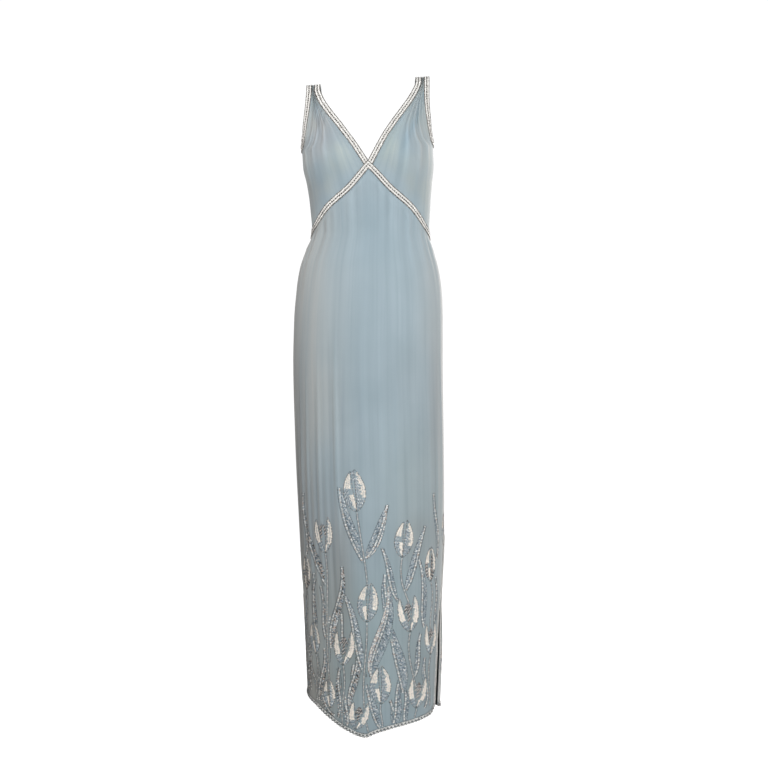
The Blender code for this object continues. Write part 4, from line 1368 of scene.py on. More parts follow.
def scatter(tray, finishes, blade, edge, near_rib):
    """Short bugles in staggered columns on one side of a leaf, their finishes mixed."""
    width = abs(edge - near_rib) * blade.half.max()
    columns = max(1, round(width / LEAF_COLUMN))
    count = max(2, int(blade.lengths[-1] / LEAF_PITCH))
    edges = np.linspace(near_rib, LEAF_REACH * edge, columns + 1)
    for column, (near, far) in enumerate(zip(edges[:-1], edges[1:])):
        share = LEAF_START + LEAF_LENGTH * (np.arange(count) + 0.5 * (column % 2)) / count
        starts = blade.at(share, near)
        stops = blade.at(np.clip(share + LEAF_TILT, 0, 1), far)
        chosen = MIXING.integers(len(finishes), size=count)
        sew_bugles(tray, finishes, chosen, starts, stops, LEAF_SHORTEST, LEAF_BEAD, LEAF_FULLNESS)


def turned(points, lean):
    """Flat points turned clockwise by an angle in degrees."""
    c = math.cos(math.radians(lean))
    s = math.sin(math.radians(lean))
    x, y = np.array(points, float).T
    return np.stack((x * c + y * s, y * c - x * s), axis=1)


def sew_flower(tray, root, length, openness, lean):
    """A tulip from the top of its stem upwards. A negative openness makes it a wide one."""
    petals, fills = (PETALS, PETAL_FILLS) if openness > 0 else (WIDE_PETALS, WIDE_FILLS)
    openness = abs(openness)
    blades = {}
    for name, (root_side, belly_side, belly, tip_side, tip, half, skew) in petals.items():
        sides = np.array((root_side, belly_side, tip_side)) * openness
        controls = np.stack((sides, (0, belly, tip)), axis=1)
        placed = root + turned(controls * length, lean)
        blades[name] = Blade(placed, half * length * openness, skew)
    for names in (("left", "right"), ("middle",)):
        for name, finishes, *how in fills:
            if name in names:
                bud = finishes is BLUES and openness < BUD
                fill(tray, DARKS if bud else finishes, blades[name], *how)
        for name in names:
            outline(tray, PETAL_EDGE, blades[name], 1.0)
            outline(tray, PETAL_EDGE, blades[name], -1.0)
        for name in names:
            take_blade(blades[name])


def sew_leaf(tray, controls, half_width, side, both, finishes=LEAF_BLUES):
    """A leaf with a bright rib, filled on one side of it or on both.

    The side is 1 for the left of the way from root to tip, and -1 for its right.
    """
    blade = Blade(controls, half_width, LEAF_SKEW)
    for beads, shape, pitch, size, start in RIB_ROWS:
        sew_flat_row(tray, beads, shape, blade.line, pitch * MM, size, start)
    for rib_side in (-1, 1):
        dark = blade.line + rib_side * RIB_EDGE * MM * blade.square
        sew_flat_row(tray, RIB_LINE, "chip", dark, OUTLINE_PITCH, OUTLINE_BEAD)
    filled_sides = []
    if half_width >= NARROW:
        filled_sides.append((side, finishes))
        if both:
            filled_sides.append((-COMB_REACH * side, LEAF_COMB))
    for edge, sewn in filled_sides:
        outline(tray, LEAF_EDGE, blade, edge)
        scatter(tray, sewn, blade, edge, math.copysign(LEAF_NEAR / half_width, edge))
    share = np.linspace(0, 1, LINE_STEPS)
    for distance in np.arange(-RIB_EDGE, RIB_EDGE):
        line = blade.line + distance * MM * blade.square
        take(sampled(share, blade.shares, line))
    for edge, _ in filled_sides:
        take_blade(blade, *sorted((0.0, LEAF_TAKES * edge)))


def sew_stem(tray, controls):
    """Three lines of beads down from a flower."""
    line = curve(controls, np.linspace(0, 1, LINE_STEPS))
    square = square_to(line)
    for distance, finishes, half_width in STEM_ROWS:
        size = (STEM_HALF_LENGTH, half_width, STEM_HEIGHT)
        sew_flat_row(tray, finishes, "chip", line + distance * MM * square, STEM_PITCH, size)
    for distance in range(-STEM_TAKES, STEM_TAKES + 1):
        take(line + distance * MM * square)
    return line


# Flowers of the front, seen from straight ahead: x and z of the base in mm, length, openness,
# lean in degrees, and the points that lead the stem down from the base
FRONT_FLOWERS = (
    (-23, -956, 88, 0.78, -5, ((-14, -1030), (1, -1085), (1, -1141))),
    (-90, -1048, 76, -0.66, -3, ((-79, -1124), (-97, -1215), (-81, -1346))),
    (75, -1056, 78, 0.76, 5, ((66, -1106), (80, -1128), (93, -1163))),
    (-1, -1195, 82, 0.8, 4, ((1, -1269), (-21, -1346), (3, -1439))),
    (93, -1219, 76, -0.86, -4, ((82, -1269), (99, -1306), (106, -1346))),
    (-53, -1291, 74, -0.84, 4, ((-42, -1346), (-62, -1378), (-53, -1424))),
    (138, -1113, 74, 0.62, -4, ((149, -1150), (134, -1185), (138, -1228))),
    (138, -1274, 68, -0.72, 3, ((127, -1324), (140, -1350), (136, -1387))),
    (-131, -1132, 72, 0.62, 3, ((-123, -1198), (-138, -1259), (-127, -1350))),
    (-112, -1272, 68, 0.64, -5, ((-101, -1313), (-116, -1335), (-110, -1367))),
    (29, -1374, 80, 0.88, -2, ((25, -1393), (36, -1415), (32, -1430))),
    (-81, -1387, 62, 0.72, -4, ()),
    (106, -1387, 66, -0.92, 6, ((108, -1393), (103, -1400), (103, -1406))),
    (-25, -1430, 60, -1, 12, ()),
)
# Leaves of the front: half width, side that is filled, both sides or one, and the points that
# lead the rib from root to tip, as x and z in mm
FRONT_LEAVES = (
    (17, -1, False, ((-8, -1067), (-31, -1032), (-58, -976), (-60, -904))),
    (13, 1, True, ((-5, -1058), (21, -1037), (32, -989), (43, -941))),
    (10, -1, False, ((66, -1150), (43, -1124), (49, -1085), (32, -1035))),
    (13, 1, False, ((80, -1132), (106, -1102), (106, -1045), (125, -989))),
    (7, 1, False, ((151, -1063), (160, -1019), (143, -976), (143, -919))),
    (14, -1, False, ((-86, -1124), (-101, -1089), (-121, -1054), (-127, -998))),
    (14, -1, False, ((-79, -1254), (-90, -1189), (-49, -1154), (-55, -1076))),
    (9, -1, False, ((-127, -1263), (-99, -1219), (-127, -1176), (-112, -1106))),
    (15, -1, False, ((-3, -1315), (-38, -1254), (-21, -1198), (-53, -1132))),
    (20, -1, True, ((8, -1315), (1, -1250), (56, -1215), (45, -1119))),
    (22, -1, False, ((77, -1350), (69, -1306), (51, -1263), (49, -1198))),
    (9, 1, False, ((99, -1324), (121, -1289), (106, -1259), (116, -1224))),
    (12, -1, False, ((123, -1211), (112, -1172), (130, -1128), (112, -1063))),
    (14, -1, False, ((51, -1430), (69, -1393), (56, -1372), (69, -1324))),
    (10, 1, False, ((125, -1389), (143, -1350), (116, -1324), (125, -1280))),
    (10, -1, False, ((-105, -1372), (-110, -1332), (-88, -1306), (-94, -1259))),
    (7, -1, False, ((-125, -1346), (-140, -1306), (-127, -1269), (-138, -1219))),
    (13, -1, False, ((-38, -1385), (-51, -1337), (-12, -1315), (-25, -1250))),
    (15, -1, False, ((36, -1433), (12, -1420), (8, -1380), (-3, -1332))),
    (8, 1, False, ((-64, -1406), (-49, -1367), (-71, -1346), (-60, -1298))),
    (6, -1, False, ((-131, -1054), (-125, -1008), (-140, -976), (-138, -919))),
    (9, -1, False, ((82, -1420), (75, -1393), (88, -1372), (82, -1346))),
    (8, 1, False, ((-73, -1402), (-99, -1385), (-99, -1354), (-108, -1315))),
    (9, 1, False, ((-44, -1424), (-38, -1402), (-51, -1380), (-47, -1354))),
    (8, -1, False, ((149, -1237), (138, -1198), (158, -1163), (149, -1106))),
    (9, 1, False, ((36, -1176), (47, -1150), (34, -1128), (38, -1093))),
    (8, 1, False, ((-110, -1372), (-94, -1341), (-129, -1315), (-121, -1276))),
    (7, -1, False, ((-123, -1354), (-134, -1332), (-118, -1298), (-129, -1254))),
    (8, -1, False, ((-90, -1237), (-103, -1202), (-90, -1163), (-101, -1119))),
    (7, 1, False, ((64, -1428), (53, -1411), (62, -1393), (49, -1367))),
    (3, 1, False, ((-53, -1426), (-62, -1380), (-53, -1346), (-64, -1298))),
    (3, 1, False, ((-99, -1385), (-108, -1350), (-101, -1315), (-110, -1272))),
    (3, 1, False, ((-123, -1346), (-127, -1306), (-118, -1272), (-127, -1228))),
    (3, 1, False, ((-38, -1415), (-27, -1367), (-40, -1332), (-29, -1289))),
    (3, 1, False, ((-86, -1298), (-79, -1259), (-90, -1228), (-81, -1185))),
    (3, 1, False, ((-51, -1280), (-60, -1237), (-49, -1198), (-60, -1154))),
    (3, 1, False, ((-118, -1219), (-110, -1176), (-123, -1141), (-114, -1093))),
)
# Turns at which a place seen from the front is looked for, a quarter of a degree apart
VIEW_STEPS = 721
VIEW_TURNS = np.linspace(-SIDE, SIDE, VIEW_STEPS)


def from_front(points):
    """Flat places of points seen from straight ahead, given as x and z in mm."""
    x, z = np.array(points, float).T * MM
    across = []
    for side, height in zip(x, z):
        seen = surface(VIEW_TURNS, np.full(VIEW_STEPS, down_at(height)))[:, 0]
        across.append(chart_across(np.interp(side, seen, VIEW_TURNS)))
    return np.stack((across, z), axis=1)


# Plants of the sides and the back: turn of the flower in degrees, height of its base in
# metres, its length, openness and lean in degrees, sway of the stem and its foot's place to
# the side in mm, and its leaves (drop of the leaf's root below the flower, reach to the side,
# rise, bend, half width, in mm)
Plant = namedtuple("Plant", "turn base length openness lean sway foot leaves")
PLANTS = [Plant(*row) for row in (
    (-80, -1.220, 70, 0.74, -4, 7, 10, ((80, -34, 150, 8, 10), (60, 30, 132, 8, 9))),
    (-76, -1.356, 64, 0.66, 5, 4, -6, ((28, 28, 104, -6, 9),)),
    (80, -1.040, 70, 0.66, -5, -8, 6, ((110, 34, 150, 9, 10),)),
    (88, -1.196, 70, 0.76, 4, 6, 10, ((84, 40, 138, 9, 10), (60, -14, 92, -4, 8))),
    (84, -1.330, 66, 0.76, -3, 3, 4, ((34, 42, 104, 9, 10),)),
    (104, -1.096, 76, -0.80, 3, 8, -10, ((92, 44, 150, 10, 11), (130, -36, 136, -8, 10))),
    (107, -1.262, 70, 0.78, -5, -6, 8, ((72, -36, 130, 8, 10), (60, 34, 126, 8, 10))),
    (124, -1.172, 72, 0.74, 5, 7, 12, ((96, 40, 158, -12, 13), (84, -38, 130, 9, 10))),
    (128, -1.350, 70, 0.80, 3, -3, -4, ((28, -40, 120, 9, 10), (24, 36, 106, -8, 10))),
    (144, -1.060, 82, 0.76, -4, 8, 10,
     ((104, -46, 164, 10, 11), (88, 42, 128, 10, 11), (210, 40, 140, -9, 10))),
    (149, -1.246, 74, -0.80, 5, -6, -10, ((76, 42, 142, 10, 11), (70, -34, 122, 8, 10))),
    (166, -1.140, 74, 0.78, 4, 7, -8, ((90, -42, 154, -12, 13), (110, 40, 150, 9, 10))),
    (170, -1.334, 76, 0.80, -4, 3, 4, ((34, 48, 114, 10, 12), (30, -44, 126, -10, 11))),
    (189, -1.000, 88, 0.78, 4, -9, -14,
     ((112, 54, 176, 11, 12), (92, -48, 118, 11, 11), (220, -44, 146, -10, 10))),
    (191, -1.222, 74, 0.76, -5, 6, 10, ((88, 42, 150, 12, 13), (76, -36, 126, 8, 10))),
    (208, -1.116, 76, -0.76, -3, 7, 8, ((96, -40, 156, -9, 10), (84, 38, 132, 9, 10))),
    (211, -1.340, 72, 0.78, 5, 3, -4, ((30, -42, 112, 9, 11), (26, 36, 122, -8, 10))),
    (228, -1.196, 74, 0.78, 4, -7, -10, ((86, 44, 152, 12, 13), (74, -36, 126, 8, 10))),
    (243, -1.078, 76, -0.80, -5, 8, 10, ((98, -44, 156, -10, 11), (120, 38, 148, 9, 10))),
    (248, -1.290, 70, 0.76, 3, 4, 6, ((62, 38, 120, 9, 10), (50, -36, 128, -8, 10))),
    (264, -1.130, 70, 0.70, -4, -6, -8, ((84, -34, 142, 8, 10),)),
)]
# Where their stems end, and how far their bends lie from the ends, as a share of the height
STEM_FOOT = -1.45
STEM_BEND = 0.33
# Leaves that rise from lower down between the plants: their turns in degrees, and three forms
# that take turns, as reach to the side, rise, bend and half width in mm. Each form's root is
# a step higher than that of the form before
LOW_LEAF_TURNS = range(92, 268, 9)
LOW_LEAF_FORMS = ((26, 128, 9, 11), (-30, 146, 8, 11), (22, 116, -9, 11))
LOW_LEAF_HEIGHT = -1.370
LOW_LEAF_STEP = 0.035
# What the half width of all these leaves is times, and the half width in mm past which both
# sides are filled
LEAF_WIDENING = 1.1
COMB_WIDTH = 12
# The two middle points of such a leaf's rib: share of the way to its tip, and how many times
# the bend they swing to the side. The second swings back where the bend is negative
FIRST_SWING = (0.30, 1.5)
SECOND_SWING = (0.68, 0.8)
BEND_SCALE = 1.5


def sew_rising_leaf(tray, root, side, rise, bend, half_width):
    """A leaf that swings up from its root. A negative bend gives its rib an S shape."""
    tip = root + np.array((side, rise)) * MM
    swing = np.array((math.copysign(BEND_SCALE * bend, side), 0.0)) * MM
    first = root + (tip - root) * FIRST_SWING[0] + FIRST_SWING[1] * swing
    second = root + (tip - root) * SECOND_SWING[0] + math.copysign(SECOND_SWING[1], bend) * swing
    half = LEAF_WIDENING * half_width * MM
    sew_leaf(tray, (root, first, second, tip), half, math.copysign(1, side), half_width > COMB_WIDTH)


def sew_plants(tray, plants):
    """The plants of a stretch of the border, the foremost first."""
    roots = [np.array((chart_across(math.radians(plant.turn)), plant.base)) for plant in plants]
    for root, plant in zip(roots, plants):
        sew_flower(tray, root, plant.length * MM, plant.openness, plant.lean)
    lines = []
    for root, plant in zip(roots, plants):
        end = np.array((root[0] + plant.foot * MM, STEM_FOOT))
        drop = np.array((0.0, STEM_BEND * (plant.base - end[1])))
        swing = np.array((plant.sway * MM, 0.0))
        lines.append(sew_stem(tray, (root, root + swing - drop, end - swing + drop, end)))
    for line, plant in zip(lines, plants):
        for drop, *form in plant.leaves:
            root = sampled(-(plant.base - drop * MM), -line[:, 1], line)
            sew_rising_leaf(tray, root, *form)


def sew_front_border(tray):
    """The flowers, stems and leaves of the front, then the plants of the wearer's right side."""
    for x, z, length, openness, lean, _ in FRONT_FLOWERS:
        sew_flower(tray, from_front([(x, z)])[0], length * MM, openness, lean)
    for x, z, _, _, _, stem in FRONT_FLOWERS:
        if stem:
            sew_stem(tray, from_front([(x, z), *stem]))
    for half_width, side, both, points in FRONT_LEAVES:
        finishes = LEAF_GREYS if points[0][0] < GREY_SIDE else LEAF_BLUES
        sew_leaf(tray, from_front(points), half_width * MM, side, both, finishes)
    sew_plants(tray, [plant for plant in PLANTS if plant.turn < 0])


def sew_back_border(tray):
    """The plants from the wearer's left side round the back, then the leaves between them."""
    sew_plants(tray, [plant for plant in PLANTS if plant.turn > 0])
    for number, turn in enumerate(LOW_LEAF_TURNS):
        form = number % len(LOW_LEAF_FORMS)
        height = LOW_LEAF_HEIGHT + LOW_LEAF_STEP * form
        root = np.array((chart_across(math.radians(turn)), height))
        sew_rising_leaf(tray, root, *LOW_LEAF_FORMS[form])


def new_material(name):
    """A material with its node tree and its shader."""
    material = bpy.data.materials.new(name)
    material.use_nodes = True
    tree = material.node_tree
    return material, tree, tree.nodes["Principled BSDF"]


def rgba(colour):
    """A colour that lets nothing through."""
    return (*colour, 1.0)


def set_inputs(tree, node, inputs):
    """Give a node's sockets their values, or links from other nodes' outputs."""
    for socket, value in inputs.items():
        if isinstance(value, bpy.types.NodeSocket):
            tree.links.new(value, node.inputs[socket])
        else:
            node.inputs[socket].default_value = value


def add_node(tree, kind, inputs=None, **settings):
    """A shader node with its settings, and with values or links for its sockets."""
    node = tree.nodes.new(kind)
    for key, value in settings.items():
        setattr(node, key, value)
    set_inputs(tree, node, inputs or {})
    return node


def cloth_place(tree):
    """The place on the cloth that a point has, from its UV map."""
    return add_node(tree, "ShaderNodeUVMap", uv_map="cloth").outputs["UV"]


def ranged(tree, value, limits, names=("From Min", "From Max")):
    """A value spread from two limits onto 0 to 1, or from 0 to 1 onto two limits by name."""
    inputs = {"Value": value, **dict(zip(names, limits))}
    return add_node(tree, "ShaderNodeMapRange", inputs).outputs["Result"]


def noise(tree, place, scale, detail):
    """A noise pattern. A scale with parts stretches it across or down the cloth."""
    if isinstance(scale, tuple):
        place = add_node(tree, "ShaderNodeMapping", {"Vector": place, "Scale": scale}).outputs["Vector"]
        scale = 1.0
    inputs = {"Vector": place, "Scale": scale, "Detail": detail}
    return add_node(tree, "ShaderNodeTexNoise", inputs).outputs["Fac"]


def pattern(tree, place, scale, limits, detail):
    """A noise pattern spread between two limits, as a value from 0 to 1."""
    return ranged(tree, noise(tree, place, scale, detail), limits)


def combined(tree, operation, first, second):
    """Two values added or multiplied."""
    return add_node(tree, "ShaderNodeMath", {0: first, 1: second}, operation=operation).outputs[0]


# The Mix node's sockets for colours
MIX_FIRST = 6
MIX_SECOND = 7
MIX_RESULT = 2


def mixed(tree, factor, first, second, blend="MIX"):
    """Two colours mixed by a factor, each given as a colour or as a node's output."""
    first, second = (rgba(c) if isinstance(c, tuple) else c for c in (first, second))
    inputs = {"Factor": factor, MIX_FIRST: first, MIX_SECOND: second}
    mix = add_node(tree, "ShaderNodeMix", inputs, data_type="RGBA", blend_type=blend)
    return mix.outputs[MIX_RESULT]


CHIFFON = (0.330, 0.415, 0.468)
CHIFFON_SHADE = (0.305, 0.390, 0.440)
CHIFFON_GREEN = (0.372, 0.430, 0.435)
CHIFFON_STREAK = (0.262, 0.338, 0.384)
# The grey of the painted sheen at the skirt's sides
CHIFFON_SHEEN_GREY = (0.375, 0.408, 0.416)
# The colour of painted shade lines on the skirt's sides, like the shadows in creases
CHIFFON_CREASE_SHADE = (0.190, 0.215, 0.225)
CHIFFON_ROUGHNESS = 0.75
# Sheen and specular of the outer face and of the inner face, kept low there so that its painted
# shade stays dark, and the tint of the sheen
OUTER_SHINE = (0.5, 0.25)
INNER_SHINE = (0.05, 0.05)
SHEEN_TINT = (1.0, 0.95, 0.90)
SHEEN_ROUGHNESS = 0.6
# Patterns of the chiffon: scale, in all ways or across, down and out, limits and detail
PATCHES = (9.0, (0.40, 0.64), 2.0)
WIDE_STREAKS = ((34.0, 1.3, 1.0), (0.42, 0.95), 2.0)
FINE_STREAKS = ((150.0, 2.4, 1.0), (0.50, 0.95), 4.0)
# Painted shade: thin dark lines like the shadows in creases
PAINTED_CREASE_LINES = ((120.0, 1.5, 1.0), (0.60, 0.74), 0.0)
# Places down the cloth between which the painted shade lines of the skirt's sides set in
PAINTED_CREASE_LINES_FROM = (-0.66, -0.86)
# Threads of the crepe as scale and detail, and the bump that they give
WARP = ((2600.0, 500.0, 1.0), 1.0)
WEFT = ((500.0, 2200.0, 1.0), 1.0)
CREPE_STRENGTH = 0.35
CREPE_DEPTH = 0.0002
# Painted sheen: where the skirt's cloth is painted greyer towards its sides, as grazing sheen
# greys them, as turns in degrees and shares of the change
PAINTED_SIDE_SHEEN = (
    (-90, 1.0),
    (-48, 0.9),
    (-26, 0.25),
    (0, 0.0),
    (40, 0.05),
    (66, 0.35),
    (90, 0.8),
    (140, 0.2),
    (220, 0.2),
    (270, 1.0),
)


def painted_side_sheen_factor(tree, place):
    """How much of the painted sheen's grey shows at a turn, from the cloth's place round the body."""
    parts = add_node(tree, "ShaderNodeSeparateXYZ", {"Vector": place})
    first, last = PAINTED_SIDE_SHEEN[0][0], PAINTED_SIDE_SHEEN[-1][0]
    limits = [math.radians(turn) * CLOTH_RADIUS for turn in (first, last)]
    ramp = add_node(tree, "ShaderNodeValToRGB", {"Fac": ranged(tree, parts.outputs["X"], limits)})
    ramp.color_ramp.interpolation = "EASE"
    while len(ramp.color_ramp.elements) < len(PAINTED_SIDE_SHEEN):
        ramp.color_ramp.elements.new(0.5)
    for element, (turn, share) in zip(ramp.color_ramp.elements, PAINTED_SIDE_SHEEN):
        element.position = (turn - first) / (last - first)
        element.color = rgba((share, share, share))
    return ramp.outputs["Color"]


def painted_crease_lines(tree, place, grey):
    """How much of the painted shade lines, like crease shadows, shows: only where the skirt is grey,
    and lower down.
    """
    parts = add_node(tree, "ShaderNodeSeparateXYZ", {"Vector": place})
    lower = ranged(tree, parts.outputs["Y"], PAINTED_CREASE_LINES_FROM)
    lines = combined(tree, "MULTIPLY", pattern(tree, place, *PAINTED_CREASE_LINES), grey)
    return combined(tree, "MULTIPLY", lines, lower)


def chiffon_material(name, on_skirt, shine=OUTER_SHINE):
    """Soft layered chiffon: fine streaks down the cloth, faint patches and a crepe surface, with
    painted sheen and painted shade lines on the skirt, and the painted shade and light of the tone
    attribute.
    """
    sheen, specular = shine
    material, tree, shader = new_material(name)
    place = cloth_place(tree)
    second = CHIFFON_SHADE if on_skirt else CHIFFON_GREEN
    colour = mixed(tree, pattern(tree, place, *PATCHES), CHIFFON, second)
    if on_skirt:
        # Painted sheen: the skirt greyer towards its sides
        grey = painted_side_sheen_factor(tree, place)
        colour = mixed(tree, grey, colour, CHIFFON_SHEEN_GREY)
    for streaks in (WIDE_STREAKS, FINE_STREAKS):
        colour = mixed(tree, pattern(tree, place, *streaks), colour, CHIFFON_STREAK)
    if on_skirt:
        # Painted shade lines like crease shadows, on the grey lower sides of the skirt
        colour = mixed(tree, painted_crease_lines(tree, place, grey), colour, CHIFFON_CREASE_SHADE)
    # The tone attribute holds painted shade and light: fold hollows, patches and the dark inside
    tone = add_node(tree, "ShaderNodeAttribute", attribute_name="tone").outputs["Vector"]
    crepe = combined(tree, "ADD", noise(tree, place, *WARP), noise(tree, place, *WEFT))
    inputs = {"Height": crepe, "Strength": CREPE_STRENGTH, "Distance": CREPE_DEPTH}
    bump = add_node(tree, "ShaderNodeBump", inputs)
    looks = {
        "Base Color": mixed(tree, 1.0, colour, tone, "MULTIPLY"),
        "Roughness": CHIFFON_ROUGHNESS,
        "Specular IOR Level": specular,
        "Sheen Weight": sheen,
        "Sheen Roughness": SHEEN_ROUGHNESS,
        "Sheen Tint": rgba(SHEEN_TINT),
        "Normal": bump.outputs["Normal"],
    }
    set_inputs(tree, shader, looks)
    return material


# Threads of the silk under the beaded bands, and their weave as scale, limits and detail
PALE_SILK = ((0.76, 0.74, 0.70), (0.60, 0.59, 0.57))
DARK_SILK = ((0.24, 0.28, 0.30), (0.15, 0.18, 0.20))
SILK_WEAVE = (1500.0, (0.35, 0.65), 2.0)
SILK_ROUGHNESS = 0.6
SILK_SHEEN = 0.2


def ribbon_material(name, threads):
    """The silk ground of the beaded bands."""
    material, tree, shader = new_material(name)
    colour = mixed(tree, pattern(tree, cloth_place(tree), *SILK_WEAVE), *threads)
    looks = {"Base Color": colour, "Roughness": SILK_ROUGHNESS, "Sheen Weight": SILK_SHEEN}
    set_inputs(tree, shader, looks)
    return material


# Finish of each sort of bead: colour, second colour, roughness, metallic, coat
BEAD_FINISHES = {
    "white": ((1.0, 0.99, 0.96), (0.74, 0.72, 0.70), 0.30, 0.0, 0.3),
    "ivory": ((1.0, 0.94, 0.86), (0.95, 0.86, 0.77), 0.45, 0.0, 0.2),
    "silver": ((1.0, 1.0, 0.98), (0.24, 0.25, 0.26), 0.34, 0.1, 0.2),
    "bronze": ((0.110, 0.090, 0.075), (0.032, 0.028, 0.025), 0.45, 0.1, 0.1),
    "rose": ((0.74, 0.62, 0.55), (0.40, 0.32, 0.27), 0.40, 0.1, 0.2),
    "blue": ((0.22, 0.29, 0.35), (0.09, 0.12, 0.15), 0.40, 0.0, 0.2),
    "pale": ((0.48, 0.55, 0.60), (0.28, 0.33, 0.37), 0.40, 0.0, 0.2),
}
COAT_ROUGHNESS = 0.25
BEADS_PER_METRE = 480.0


def bead_material(finish):
    """Glass beads, each a little different from the next."""
    colour, second, roughness, metallic, coat = BEAD_FINISHES[finish]
    material, tree, shader = new_material(f"bead_{finish}")
    place = add_node(tree, "ShaderNodeTexCoord").outputs["Object"]
    inputs = {"Vector": place, "Scale": BEADS_PER_METRE}
    single = add_node(tree, "ShaderNodeTexVoronoi", inputs).outputs["Color"]
    parts = add_node(tree, "ShaderNodeSeparateColor", {"Color": single})
    looks = {
        "Base Color": mixed(tree, parts.outputs["Red"], colour, second),
        "Roughness": roughness,
        "Metallic": metallic,
        "Coat Weight": coat,
        "Coat Roughness": COAT_ROUGHNESS,
    }
    set_inputs(tree, shader, looks)
    return material


def add_panel(node, blocks, cloth, inside, shade):
    """The chiffon of one panel."""
    name = f"{node}_chiffon"
    piece = add_cloth(name, blocks, -CLOTH_WALL, 0.0, cloth, "chiffon", shade, inside)
    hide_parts(node)
    return piece


def make_bodice(front, back, cloth, inside):
    """Four bodice panels, apart at the centre, side, shoulder and waist seams."""
    pieces = {}
    for side, word in SIDES:
        for face, blocks, turns in (("front", front[word], (0, SIDE)), ("back", back, (SIDE, BACK))):
            if side < 0:
                blocks = {name: mirrored(block) for name, block in blocks.items()}
                turns = (-turns[1], -turns[0])
            trimmed = [waist_clear(clear_of(block, turns), above=True) for block in blocks.values()]
            node = f"{face}_bodice_{word}"
            pieces[node] = add_panel(node, trimmed, cloth, inside, BODICE_PAINTED_FOLD_SHADE)
    return pieces


def skirt_blocks(half_turns):
    """The front skirt in one block and the back skirt in two, with the turns that each keeps to."""
    return {
        "front_skirt": (front_skirt_block(half_turns), (-SIDE, SIDE)),
        "back_skirt_left": (behind_side_seam(back_skirt_block(left=True)), (0, BACK)),
        "back_skirt_right": (back_skirt_block(left=False), (BACK, BACK + SIDE)),
    }


def make_skirt(blocks, cloth, inside):
    """The three panels of the skirt, apart at their seams."""
    pieces = {}
    for node, (block, turns) in blocks.items():
        trimmed = waist_clear(clear_of(block, turns), above=False)
        pieces[node] = add_panel(node, [trimmed], cloth, inside, SKIRT_PAINTED_FOLD_SHADE)
    return pieces


def add_ribbon(node, blocks, ground):
    """The silk ground of one beaded band."""
    name = f"{node}_ground"
    piece = add_cloth(name, blocks, RIBBON_GAP, RIBBON_GAP + RIBBON_WALL, ground, "beadwork")
    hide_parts(node)
    return piece


def make_upper_ribbons(front, back, ground):
    """The grounds of the neck and armhole bands and of the band under the bust."""
    pieces = {}
    for side, word in SIDES:
        neck = []
        for block, low, high in ((front["neck"], 0, SIDE), (back["neck"], SIDE, BACK)):
            turn, down, lift = block
            turn = np.clip(turn, low + SEAM_TURN, high - SEAM_TURN)
            lowest = np.where(turn < SIDE, band_top(turn) - 0.5 * SEAM_GAP, down)
            neck.append((side * turn, np.minimum(down, lowest), lift))
        arm = [front["arm"], back["arm"]]
        if side < 0:
            arm = [mirrored(block) for block in arm]
        pieces[f"neck_band_{word}"] = add_ribbon(f"neck_band_{word}", neck, ground)
        pieces[f"armhole_band_{word}"] = add_ribbon(f"armhole_band_{word}", arm, ground)
    turns = np.linspace(-SIDE + SEAM_TURN, SIDE - SEAM_TURN, CHEVRON_STEPS)
    rows = [band_top(turns), seam_down(turns), band_bottom(turns)]
    chevron = smooth_block(np.stack([turns] * len(rows)), np.stack(rows))
    pieces["underbust_band"] = add_ribbon("underbust_band", [chevron], ground)
    return pieces


def make_lower_ribbons(skirt, ground, hem_ground):
    """The grounds of the hem band and of the bands beside the slit."""
    hem = [tuple(rows[-2:] for rows in block) for block, _ in skirt.values()]
    pieces = {"hem_band": add_ribbon("hem_band", hem, hem_ground)}
    across = np.linspace(0, 1, SLIT_BAND_LINES)
    for node, panel, column, edge_column, way in SLIT_BANDS:
        (_, downs, _), _ = skirt[panel]
        slit_top, hem_top = downs[[SLIT_ROW, -2], edge_column]
        down = np.linspace(slit_top, hem_top - SEAM_GAP, SLIT_BAND_STEPS)
        down = down[:, None] + 0 * across
        edge = slit_turn(down, column)
        reach = np.linalg.norm(tangents(edge, down)[0], axis=-1)
        turn = edge + way * across * SLIT_BAND / reach
        pieces[node] = add_ribbon(node, [(turn, down, fold_lift(turn, down))], ground)
    return pieces


def area_light(name, place, target, size, power, colour):
    """A soft round light aimed at a point."""
    light = bpy.data.lights.new(name, "AREA")
    light.shape = "DISK"
    light.size = size
    light.energy = power
    light.color = colour
    lamp = bpy.data.objects.new(name, light)
    bpy.context.scene.collection.objects.link(lamp)
    lamp.location = place
    lamp.visible_camera = False
    x, y, z = np.array(target) - np.array(place)
    lamp.rotation_euler = (math.atan2(np.hypot(x, y), -z), 0, math.atan2(-x, y))


# Studio lights: place, target, size, power, colour
LIGHTS = {
    "key": ((0.9, -3.2, 0.9), (0.05, 0.0, -0.6), 1.5, 95.0, (0.98, 1.0, 1.0)),
    "left": ((-0.75, -0.65, 0.1), (-0.1, 0.0, -0.25), 0.4, 4.4, (1.0, 0.96, 0.94)),
    "right": ((1.1, -0.4, -0.25), (0.1, 0.0, -0.45), 0.4, 3.4, (1.0, 0.95, 0.91)),
    "rear_left": ((-1.6, 2.6, 0.6), (0.0, 0.0, -0.7), 1.5, 16.0, (1.0, 0.98, 0.96)),
    "rear_right": ((1.6, 2.6, 0.6), (0.0, 0.0, -0.7), 1.5, 60.0, (1.0, 0.98, 0.96)),
}
WHITE = (1.0, 1.0, 1.0)
# How bright the surround and the floor are as light, and how bright they are to the camera
AMBIENT = 0.08
SURROUND_SEEN = 1.05
FLOOR_GLOW = 0.06
FLOOR_SEEN = 1.0
FLOOR_COLOUR = (0.6, 0.6, 0.6)
FLOOR_ROUGHNESS = 0.9
FLOOR_HEIGHT = -1.52
FLOOR_HALF = 60.0
CAMERA_PLACE = (0.036, -3.0, -0.68)
CAMERA_LENS = 62.5
CAMERA_SENSOR = 36.0


